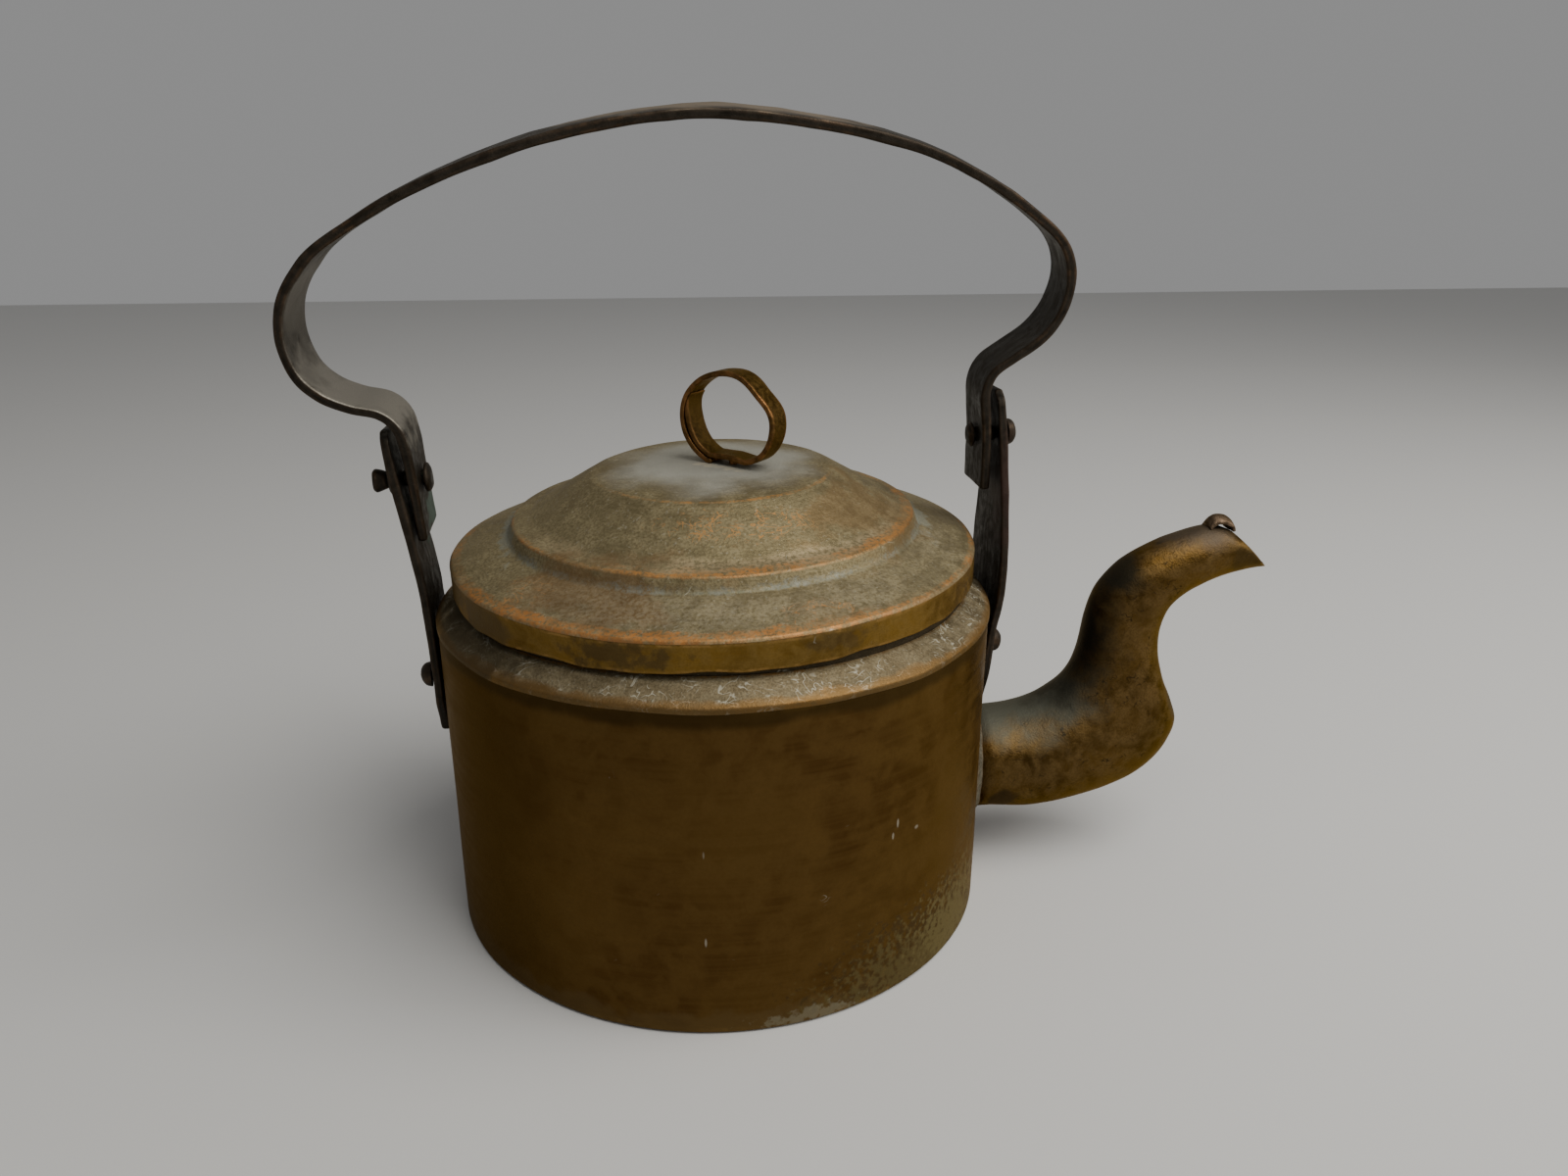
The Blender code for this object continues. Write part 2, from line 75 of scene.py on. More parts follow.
@dataclass
class Nodes:
    """Adds nodes to one tree and wires them as they are made."""

    tree: bpy.types.NodeTree

    def add(self, kind: str, wires: dict | None = None, **settings: object) -> bpy.types.Node:
        """Adds a node.

        Args:
            kind: The node's type name.
            wires: Each input, by name or number, with the socket or value that goes in.
            settings: The node's own properties, set before its inputs.

        Returns:
            The new node.
        """
        node = self.tree.nodes.new(kind)
        for name, value in settings.items():
            setattr(node, name, value)
        for key, value in (wires or {}).items():
            if isinstance(value, Socket):
                self.tree.links.new(value, node.inputs[key])
            else:
                node.inputs[key].default_value = value
        return node

    def maths(self, operation: str, *values: object) -> Socket:
        """Returns the result of one sum on numbers."""
        return self.add("ShaderNodeMath", dict(enumerate(values)), operation=operation).outputs[0]

    def plus(self, first: object, second: object) -> Socket:
        """Returns the sum of two numbers."""
        return self.maths("ADD", first, second)

    def minus(self, first: object, second: object) -> Socket:
        """Returns the first number less the second."""
        return self.maths("SUBTRACT", first, second)

    def times(self, first: object, second: object) -> Socket:
        """Returns the product of two numbers."""
        return self.maths("MULTIPLY", first, second)

    def greatest(self, values: Sequence[Socket]) -> Socket:
        """Returns the greatest of several numbers."""
        found = values[0]
        for value in values[1:]:
            found = self.maths("MAXIMUM", found, value)
        return found

    def vector(self, operation: str, *values: object) -> Socket:
        """Returns the vector that comes of one sum on vectors."""
        wires = dict(enumerate(values))
        return self.add("ShaderNodeVectorMath", wires, operation=operation).outputs[0]

    def measure(self, operation: str, *values: object) -> Socket:
        """Returns the number that comes of one sum on vectors."""
        wires = dict(enumerate(values))
        return self.add("ShaderNodeVectorMath", wires, operation=operation).outputs["Value"]

    def scaled(self, vector: object, factor: object) -> Socket:
        """Returns a vector times a number."""
        wires = {"Vector": vector, "Scale": factor}
        return self.add("ShaderNodeVectorMath", wires, operation="SCALE").outputs[0]

    def parts(self, vector: object) -> Sockets:
        """Returns the three numbers of a vector."""
        return self.add("ShaderNodeSeparateXYZ", {0: vector}).outputs

    def ramp(self, value: object, low: object, high: object) -> Socket:
        """Returns 0 below low and 1 above high, with a smooth rise between."""
        wires = {"Value": value, "From Min": low, "From Max": high}
        return self.add("ShaderNodeMapRange", wires, interpolation_type="SMOOTHSTEP").outputs[0]

    def mix(self, factor: object, first: object, second: object) -> Socket:
        """Returns a colour between two colours, where a plain one is opaque."""
        ends = [(*end, 1) if isinstance(end, tuple) else end for end in (first, second)]
        return self.add("ShaderNodeMix", {0: factor, 6: ends[0], 7: ends[1]}, data_type="RGBA").outputs[2]

    def between(self, factor: object, first: object, second: object) -> Socket:
        """Returns a number between two numbers."""
        return self.add("ShaderNodeMix", {0: factor, 2: first, 3: second}, data_type="FLOAT").outputs[0]

    def noise(self, vector: object, scale: object, detail: float, output: object = 0) -> Socket:
        """Returns a noise over a vector, as a number or as the output that is named."""
        wires = {"Vector": vector, "Scale": scale, "Detail": detail, "Roughness": 0.55}
        return self.add("ShaderNodeTexNoise", wires).outputs[output]

    def cells(self, vector: object, scale: object, smooth: float) -> Socket:
        """Returns the distance to the nearest middle of round cells."""
        wires = {"Vector": vector, "Scale": scale, "Smoothness": smooth}
        return self.add("ShaderNodeTexVoronoi", wires, feature="SMOOTH_F1").outputs["Distance"]


@dataclass
class Group:
    """A node group with named sockets."""

    nodes: Nodes
    enter: bpy.types.Node
    leave: bpy.types.Node

    @classmethod
    def start(cls, kind: str, name: str, inputs: dict, outputs: dict) -> "Group":
        """Makes an empty group.

        Args:
            kind: The tree's type name.
            name: What the group is called.
            inputs: Each input's name, with its socket type and its value or None.
            outputs: Each output's name, with its socket type.

        Returns:
            The group, with its two end nodes.
        """
        tree = bpy.data.node_groups.new(name, kind)
        for label, (socket, value) in inputs.items():
            made = tree.interface.new_socket(name=label, in_out="INPUT", socket_type=socket)
            if value is not None:
                made.default_value = value
        for label, socket in outputs.items():
            tree.interface.new_socket(name=label, in_out="OUTPUT", socket_type=socket)
        nodes = Nodes(tree)
        return cls(nodes, nodes.add("NodeGroupInput"), nodes.add("NodeGroupOutput"))

    def take(self, label: str) -> Socket:
        """Returns the socket that brings one input in."""
        return self.enter.outputs[label]

    def give(self, label: str, socket: Socket) -> None:
        """Wires one output."""
        self.nodes.tree.links.new(socket, self.leave.inputs[label])


def new_object(name: str, data: bpy.types.ID) -> bpy.types.Object:
    """Makes an object and puts it in the scene."""
    obj = bpy.data.objects.new(name, data)
    bpy.context.scene.collection.objects.link(obj)
    return obj


def finished_mesh(name: str, made: bmesh.types.BMesh) -> bpy.types.Mesh:
    """Returns a mesh of what was made, and frees what was made."""
    mesh = bpy.data.meshes.new(name)
    made.to_mesh(mesh)
    made.free()
    return mesh


def settle(obj: bpy.types.Object) -> None:
    """Turns an object with modifiers into a plain mesh."""
    graph = bpy.context.evaluated_depsgraph_get()
    shaped = obj.evaluated_get(graph)
    mesh = bpy.data.meshes.new_from_object(shaped, preserve_all_data_layers=True, depsgraph=graph)
    obj.modifiers.clear()
    obj.data = mesh


class Tree:
    """A Geometry Nodes tree that is built once and used on many pieces."""

    label = ""
    inputs: dict = {}

    def __init__(self) -> None:
        sockets = {"Geometry": ("NodeSocketGeometry", None), **self.inputs}
        sockets["Finish"] = ("NodeSocketMaterial", None)
        gives = {"Geometry": "NodeSocketGeometry"}
        self.group = Group.start("GeometryNodeTree", self.label, sockets, gives)
        self.nodes = self.group.nodes
        self.close(self.fill())

    def fill(self) -> Socket:
        """Builds the tree's own nodes and returns the geometry that they make."""
        raise NotImplementedError

    def close(self, geometry: Socket) -> None:
        """Makes instances real, shades smooth and sets the material."""
        real = self.nodes.add("GeometryNodeRealizeInstances", {"Geometry": geometry})
        smooth = self.nodes.add("GeometryNodeSetShadeSmooth", {"Geometry": real.outputs[0]})
        wires = {"Geometry": smooth.outputs[0], "Material": self.group.take("Finish")}
        self.group.give("Geometry", self.nodes.add("GeometryNodeSetMaterial", wires).outputs[0])

    def work(self, obj: bpy.types.Object, finish: bpy.types.Material, **values: object) -> None:
        """Runs the tree on an object and leaves a plain mesh.

        Args:
            obj: The object to work.
            finish: The material that the tree sets.
            values: The other inputs, with _ for each space in a name.
        """
        modifier = obj.modifiers.new(self.label, "NODES")
        modifier.node_group = self.nodes.tree
        values = {name.replace("_", " "): value for name, value in values.items()}
        values["Finish"] = finish
        for item in self.nodes.tree.interface.items_tree:
            if item.in_out == "INPUT" and item.name in values:
                modifier[item.identifier] = values[item.name]
        settle(obj)

    def named(self, name: str, kind: str = "FLOAT_VECTOR") -> Socket:
        """Returns an attribute of the mesh by its name."""
        node = self.nodes.add("GeometryNodeInputNamedAttribute", {"Name": name}, data_type=kind)
        return node.outputs["Attribute"]

    def stored(self, geometry: object, name: str, value: object, kind: str) -> Socket:
        """Keeps a value on the mesh's points under a name and returns the geometry."""
        wires = {"Geometry": geometry, "Name": name, "Value": value}
        node = self.nodes.add("GeometryNodeStoreNamedAttribute", wires, data_type=kind)
        return node.outputs[0]


class SkinTree(Tree):
    """Carries a section along a path.

    The mesh that goes in holds the path's stations first and then the corners of
    the section. A skin point stands at station + across * x + broad * y + bow * y * y.
    """

    label = "carry_section"
    inputs = {
        "Stations": ("NodeSocketInt", 2),
        "Corners": ("NodeSocketInt", 2),
        "Joined Stations": ("NodeSocketInt", 0),
        "Joined Corners": ("NodeSocketInt", 1),
        "Weld": ("NodeSocketFloat", 2e-5),
    }

    def fill(self) -> Socket:
        """Builds the grid of skin points and returns it welded."""
        n, take = self.nodes, self.group.take
        rows = n.plus(take("Stations"), take("Joined Stations"))
        columns = n.plus(take("Corners"), take("Joined Corners"))
        grid = n.add("GeometryNodeMeshGrid", {"Vertices X": rows, "Vertices Y": columns})
        index = n.add("GeometryNodeInputIndex").outputs[0]
        row = n.maths("FLOOR", n.maths("DIVIDE", n.plus(index, 0.5), columns))
        column = n.minus(index, n.times(row, columns))
        station = n.plus(n.maths("MODULO", row, take("Stations")), 0.25)
        corner = n.plus(n.maths("MODULO", column, take("Corners")), 0.25)
        corner = n.plus(corner, take("Stations"))
        place = n.add("GeometryNodeInputPosition").outputs[0]
        across, broad, _ = n.parts(self.sampled(place, corner))
        skin = self.sampled(place, station)
        for name, factor in (("across", across), ("broad", broad), ("bow", n.times(broad, broad))):
            skin = n.vector("ADD", skin, n.scaled(self.sampled(self.named(name), station), factor))
        wires = {"Geometry": grid.outputs[0], "Position": skin}
        skinned = n.add("GeometryNodeSetPosition", wires).outputs[0]
        along = self.sampled(self.named("run"), station)
        around = self.sampled(self.named("run"), corner)
        grain = n.vector("ADD", along, n.vector("MULTIPLY", around, (0, 1, 0)))
        skinned = self.stored(skinned, "grain", grain, "FLOAT_VECTOR")
        inner = n.parts(n.vector("MAXIMUM", along, around))[2]
        skinned = self.stored(skinned, "inner", inner, "FLOAT")
        wires = {"Geometry": skinned, "Distance": take("Weld")}
        return n.add("GeometryNodeMergeByDistance", wires).outputs[0]

    def sampled(self, value: object, index: object) -> Socket:
        """Returns a vector of the incoming mesh at one of its points."""
        wires = {"Geometry": self.group.take("Geometry"), "Value": value, "Index": index}
        return self.nodes.add("GeometryNodeSampleIndex", wires, data_type="FLOAT_VECTOR").outputs[0]


class ForgeTree(Tree):
    """Warps a skin a little and dishes it with hammer marks."""

    label = "warp_and_hammer"
    inputs = {
        "Warp": ("NodeSocketFloat", 0.0003),
        "Warp Size": ("NodeSocketFloat", 0.06),
        "Dents": ("NodeSocketFloat", 0.0),
        "Dent Size": ("NodeSocketFloat", 0.012),
        "Seed": ("NodeSocketFloat", 0.0),
    }

    def fill(self) -> Socket:
        """Moves the points of the skin and returns it."""
        n, take = self.nodes, self.group.take
        place = n.add("GeometryNodeInputPosition").outputs[0]
        bend = n.noise(place, n.maths("DIVIDE", 1.0, take("Warp Size")), 1.0, "Color")
        bend = n.scaled(n.vector("SUBTRACT", bend, (0.5, 0.5, 0.5)), n.times(take("Warp"), 2))
        spot = n.vector("ADD", place, n.scaled((1.7, 0.9, 1.3), take("Seed")))
        marks = n.cells(spot, n.maths("DIVIDE", 1.0, take("Dent Size")), 0.35)
        dish = n.times(n.minus(n.times(marks, marks), 0.3), take("Dents"))
        normal = n.add("GeometryNodeInputNormal").outputs[0]
        offset = n.vector("ADD", bend, n.scaled(normal, dish))
        wires = {"Geometry": take("Geometry"), "Offset": offset}
        return n.add("GeometryNodeSetPosition", wires).outputs[0]


class RivetTree(Tree):
    """Sets a turned rivet at each point, along its axis and turned by chance."""

    label = "set_rivets"
    inputs = {
        "Rivet": ("NodeSocketObject", None),
        "Seed": ("NodeSocketInt", 1),
    }

    def fill(self) -> Socket:
        """Places the rivets and returns them as instances."""
        n, take = self.nodes, self.group.take
        wires = {2: 0.0, 3: math.tau, "Seed": take("Seed")}
        chance = n.add("FunctionNodeRandomValue", wires, data_type="FLOAT").outputs[1]
        wires = {"Axis": (0.0, 0.0, 1.0), "Angle": chance}
        spin = n.add("FunctionNodeAxisAngleToRotation", wires).outputs[0]
        wires = {"Rotation": spin, "Vector": self.named("axis")}
        aligned = n.add("FunctionNodeAlignRotationToVector", wires, axis="Z").outputs[0]
        rivet = n.add("GeometryNodeObjectInfo", {"Object": take("Rivet")}).outputs["Geometry"]
        wires = {"Points": take("Geometry"), "Instance": rivet, "Rotation": aligned}
        return n.add("GeometryNodeInstanceOnPoints", wires).outputs[0]


# ------------------------------------------------------------------- shapes


def smooth_line(points: np.ndarray, per_span: int = 16) -> np.ndarray:
    """Returns a smooth curve through points of any dimension."""
    padded = np.vstack([2 * points[0] - points[1], points, 2 * points[-1] - points[-2]])
    t = np.linspace(0, 1, per_span, endpoint=False)[:, None]
    spans = []
    for before, start, end, after in zip(padded, padded[1:], padded[2:], padded[3:]):
        square = 2 * before - 5 * start + 4 * end - after
        cube = 3 * start - before - 3 * end + after
        spans.append(0.5 * (2 * start + (end - before) * t + square * t**2 + cube * t**3))
    return np.vstack([*spans, points[-1:]])


def evenly(line: np.ndarray, spacing: float, dimensions: int = 3) -> np.ndarray:
    """Resamples a line.

    Args:
        line: A row for each point, with its place in the first columns.
        spacing: The distance between the points of the new line.
        dimensions: How many columns hold the place.

    Returns:
        The new rows, with every column carried over.
    """
    steps = np.linalg.norm(np.diff(line[:, :dimensions], axis=0), axis=1)
    run = np.concatenate([[0], np.cumsum(steps)])
    at = np.linspace(0, run[-1], max(3, round(run[-1] / spacing) + 1))
    return np.column_stack([np.interp(at, run, column) for column in line.T])


def run_of(points: np.ndarray) -> np.ndarray:
    """Returns how far along a line each of its points is."""
    return np.concatenate([[0], np.cumsum(np.linalg.norm(np.diff(points, axis=0), axis=1))])


def unit(vectors: np.ndarray) -> np.ndarray:
    """Returns each row at length one."""
    return vectors / np.linalg.norm(vectors, axis=1, keepdims=True)


def same_way(way: Sequence[float], count: int) -> np.ndarray:
    """Returns one vector in each of many rows."""
    return np.tile(np.array(way, float), (count, 1))


def ripple(angle: np.ndarray, waves: Sequence[tuple[float, float, float]]) -> np.ndarray:
    """Returns the sum of waves round a turn, each with its count, its start and its height."""
    return sum(height * np.sin(angle * count + start) for count, start, height in waves)


def steps_between(value: np.ndarray, low: float, high: float) -> np.ndarray:
    """Returns 0 below low and 1 above high, with a smooth rise between."""
    t = np.clip((value - low) / (high - low), 0, 1)
    return t * t * (3 - 2 * t)


MOST_ROUNDED = 0.47  # the most of a side that one rounded corner takes
CORNER_POINTS = 7


@dataclass
class Section:
    """The line that is carried along a path, as (across, broad) points."""

    points: np.ndarray
    closed: bool = True
    inner: np.ndarray | None = None

    @classmethod
    def rounded(
        cls,
        corners: Sequence[tuple[float, float, float]],
        closed: bool = True,
        inner_from: int = 99,
        spacing: float = 2.0,
    ) -> "Section":
        """Joins corners with straight lines and rounds them.

        Args:
            corners: (across, broad, how much is rounded) of each corner, in mm.
            closed: Whether the last corner joins the first.
            inner_from: The first corner that faces the kettle's inside.
            spacing: The longest step between two points, in mm.

        Returns:
            The section, in metres.
        """
        places = [np.array(corner[:2], float) for corner in corners]
        line: list[tuple[np.ndarray, int]] = []
        for index, here in enumerate(places):
            if not closed and index in (0, len(places) - 1):
                line.append((here, index))
                continue
            back = places[index - 1] - here
            ahead = places[(index + 1) % len(places)] - here
            lengths = np.linalg.norm(back), np.linalg.norm(ahead)
            reach = min(corners[index][2], MOST_ROUNDED * min(lengths))
            start = here + back / lengths[0] * reach
            end = here + ahead / lengths[1] * reach
            for t in np.linspace(0, 1, CORNER_POINTS):
                line.append(((1 - t) ** 2 * start + 2 * t * (1 - t) * here + t * t * end, index))
        points, numbers = [], []
        follow = line[1:] + (line[:1] if closed else [])
        for (place, index), (after, _) in zip(line, follow):
            parts = max(1, math.ceil(np.linalg.norm(after - place) / spacing))
            for part in range(parts):
                points.append(place + (after - place) * part / parts)
                numbers.append(index)
        if not closed:
            points.append(line[-1][0])
            numbers.append(line[-1][1])
        inner = (np.array(numbers) >= inner_from).astype(float)
        return cls(np.array(points) * MM, closed, inner)

    @classmethod
    def strap(cls, thickness: float, half_width: float, edge: float) -> "Section":
        """A flat strap with rounded edges, whose breadth runs from -1 to 1; sizes in mm."""
        thin, wide = thickness / 2, half_width
        corners = [(thin, -wide, edge), (thin, wide, edge), (-thin, wide, edge), (-thin, -wide, edge)]
        made = cls.rounded(corners, spacing=1.1)
        made.points = made.points / np.array([1, half_width * MM])
        return made

    @classmethod
    def circle(cls, count: int) -> "Section":
        """A circle of radius one."""
        angle = np.linspace(0, math.tau, count, endpoint=False)
        return cls(np.column_stack([np.cos(angle), np.sin(angle)]))


SLANT_REACH = 2.2  # how many half widths back a slanted end reaches
END_SHARES = (1.0, 0.92, 0.7, 0.36, 0.0)  # how thick a rounded end still is
END_STEPS = (0.0, 0.38, 0.71, 0.92, 1.0)  # and how far out it is there


@dataclass
class Path:
    """The stations that a section is carried along."""

    points: np.ndarray
    across: np.ndarray
    broad: np.ndarray
    bow: np.ndarray | None = None
    inner: np.ndarray | None = None
    closed: bool = False

    @classmethod
    def turning(cls, count: int) -> "Path":
        """A closed path that turns its section about +Z in so many steps, from the back round."""
        angle = math.pi + np.linspace(0, math.tau, count, endpoint=False)
        across = np.column_stack([np.cos(angle), np.sin(angle), np.zeros(count)])
        return cls(np.zeros((count, 3)), across, same_way(UP, count), closed=True)

    @classmethod
    def strap(
        cls,
        line: np.ndarray,
        broad: np.ndarray,
        half_width: np.ndarray | float,
        skews: tuple[float, float] = (0.0, 0.0),
        bow: np.ndarray | None = None,
        tip: float = 1.0 * MM,
    ) -> "Path":
        """A path for a strap, with rounded and closed ends.

        Args:
            line: The strap's middle line.
            broad: The way of its breadth at each station, at length one.
            half_width: Half its width.
            skews: How far each end is cut on the slant.
            bow: How the strap is dished at each station.
            tip: How much of each end is rounded.

        Returns:
            The open path.
        """
        along = unit(np.gradient(line, axis=0))
        across = unit(np.cross(broad, along))
        run = run_of(line)
        width = np.broadcast_to(half_width, run.shape)[:, None]
        reach = SLANT_REACH * float(np.max(width))
        near, far = np.clip(1 - run / reach, 0, 1), np.clip(1 - (run[-1] - run) / reach, 0, 1)
        broad = (broad + along * (skews[0] * near + skews[1] * far)[:, None]) * width
        bow = np.zeros_like(line) if bow is None else bow
        share, step = np.array(END_SHARES)[:, None], np.array(END_STEPS)[:, None]
        ends = []
        for end, way in ((0, -1), (-1, 1)):
            spot = line[end] + along[end] * way * tip * step
            narrow = broad[end] * (1 - (1 - share) * tip / width[end])
            rows = [np.vstack([part, part[-1:]]) for part in (spot, across[end] * share, narrow)]
            rows[-1][-1] = 0
            ends.append([*rows, same_way(bow[end], len(share) + 1)])
        head, tail = ends
        middle = (line, across, broad, bow)
        return cls(*(np.vstack([a[::-1], rows[1:-1], b]) for a, rows, b in zip(head, middle, tail)))

    def placed(self, matrix: Matrix) -> "Path":
        """The same path moved and turned as a whole."""
        turn = np.array(matrix.to_3x3()).T
        moved = self.points @ turn + np.array(matrix.translation)
        bow = None if self.bow is None else self.bow @ turn
        return Path(moved, self.across @ turn, self.broad @ turn, bow, self.inner, self.closed)


def skin_mesh(name: str, path: Path, section: Section) -> bpy.types.Object:
    """Makes the mesh that SkinTree reads, which holds a path and a section.

    Args:
        name: What the object is called.
        path: The path.
        section: The section.

    Returns:
        An object with no faces yet.
    """
    stations, corners = len(path.points), len(section.points)
    outline = np.column_stack([section.points, np.zeros(corners)])
    mesh = bpy.data.meshes.new(name)
    mesh.from_pydata(np.vstack([path.points, outline]).tolist(), [], [])
    outer = path.points + path.across * float(np.abs(section.points[:, 0]).max())
    inner = np.zeros(stations) if path.inner is None else path.inner
    within = np.zeros(corners) if section.inner is None else section.inner
    scale = [np.linalg.norm(way, axis=1).max() for way in (path.across, path.broad)]
    along = np.column_stack([run_of(outer), np.zeros(stations), inner])
    around = np.column_stack([np.zeros(corners), run_of(section.points * scale), within])
    bow = np.zeros((stations, 3)) if path.bow is None else path.bow
    rest = np.zeros((corners, 3))
    rows = {
        "across": (path.across, rest),
        "broad": (path.broad, rest),
        "bow": (bow, rest),
        "run": (along, around),
    }
    for label, values in rows.items():
        attribute = mesh.attributes.new(label, "FLOAT_VECTOR", "POINT")
        attribute.data.foreach_set("vector", np.vstack(values).astype(np.float32).ravel())
    return new_object(name, mesh)


def face_outwards(mesh: bpy.types.Mesh) -> None:
    """Drops loose edges and turns every face of a closed skin outwards."""
    made = bmesh.new()
    made.from_mesh(mesh)
    loose = [edge for edge in made.edges if not edge.link_faces]
    bmesh.ops.delete(made, geom=loose, context="EDGES")
    bmesh.ops.recalc_face_normals(made, faces=made.faces)
    made.to_mesh(mesh)
    made.free()


def vectors_of(items: bpy.types.bpy_prop_collection, label: str) -> np.ndarray:
    """Returns one vector of each item of a mesh, as rows."""
    values = np.zeros(len(items) * 3, np.float32)
    items.foreach_get(label, values)
    return values.reshape(-1, 3)


def reshape(mesh: bpy.types.Mesh, shaper: Shaper) -> None:
    """Moves every point of a mesh with one function."""
    moved = shaper(vectors_of(mesh.vertices, "co").astype(float))
    mesh.vertices.foreach_set("co", moved.astype(np.float32).ravel())
    mesh.update()


SHORTEST_EDGE = 1e-5
FAINT_BEND = 35.0  # the bend, one over its radius, where a mark starts
SHARP_BEND = 330.0  # and where it is full


def mark_bends(mesh: bpy.types.Mesh, passes: int = 3) -> None:
    """Stores how far each point stands proud of its neighbours or lies below them.

    Args:
        mesh: The finished skin. It gets the attributes worn and hollow, from 0 to 1.
        passes: How often each value is averaged with those next to it.
    """
    count = len(mesh.vertices)
    places, normals = vectors_of(mesh.vertices, "co"), vectors_of(mesh.vertex_normals, "vector")
    ends = np.zeros(len(mesh.edges) * 2, np.int32)
    mesh.edges.foreach_get("vertices", ends)
    first, second = ends.reshape(-1, 2).T
    gap = places[second] - places[first]
    turn = normals[second] - normals[first]
    bend = (gap * turn).sum(1) / np.maximum((gap * gap).sum(1), SHORTEST_EDGE**2)
    both, other = np.concatenate([first, second]), np.concatenate([second, first])
    shared = np.maximum(np.bincount(both, minlength=count), 1)
    value = np.bincount(both, weights=np.concatenate([bend, bend]), minlength=count) / shared
    for _ in range(passes):
        value = 0.5 * value + 0.5 * np.bincount(both, weights=value[other], minlength=count) / shared
    for label, sign in (("worn", 1), ("hollow", -1)):
        attribute = mesh.attributes.new(label, "FLOAT", "POINT")
        mark = steps_between(sign * value, FAINT_BEND, SHARP_BEND)
        attribute.data.foreach_set("value", mark.astype(np.float32))


# ------------------------------------------------------------------ finishes


@dataclass(frozen=True)
class Patch:
    """A ragged patch of another colour at one place on the metal."""

    centre: tuple[float, float, float]
    reach: tuple[float, float, float]
    colour: Colour
    strength: float = 0.8
    size: float = 90.0
    ragged: float = 0.9
    roughness: float = 0.6
    metallic: float = 0.4
    scratched: float = 0.0
    # the side paints highlights: only faces turned this way take the patch
    side: tuple[float, float, float] = (0.0, 0.0, 0.0)


@dataclass(frozen=True)
class Band:
    """A worn line that runs round a turned piece, at one place on its outline."""

    at: float
    width: float
    colour: Colour
    strength: float = 0.7
    size: float = 160.0
    ragged: float = 0.6
    toward: tuple[float, float, float] = (0.0, 0.0, 0.0)


class Tone(Enum):
    """Colours that several finishes share, as linear values."""

    COPPER_WORN = (0.27, 0.125, 0.042)
    VERDIGRIS = (0.115, 0.20, 0.175)
    CHALK = (0.42, 0.40, 0.32)
    TIN = (0.20, 0.19, 0.165)


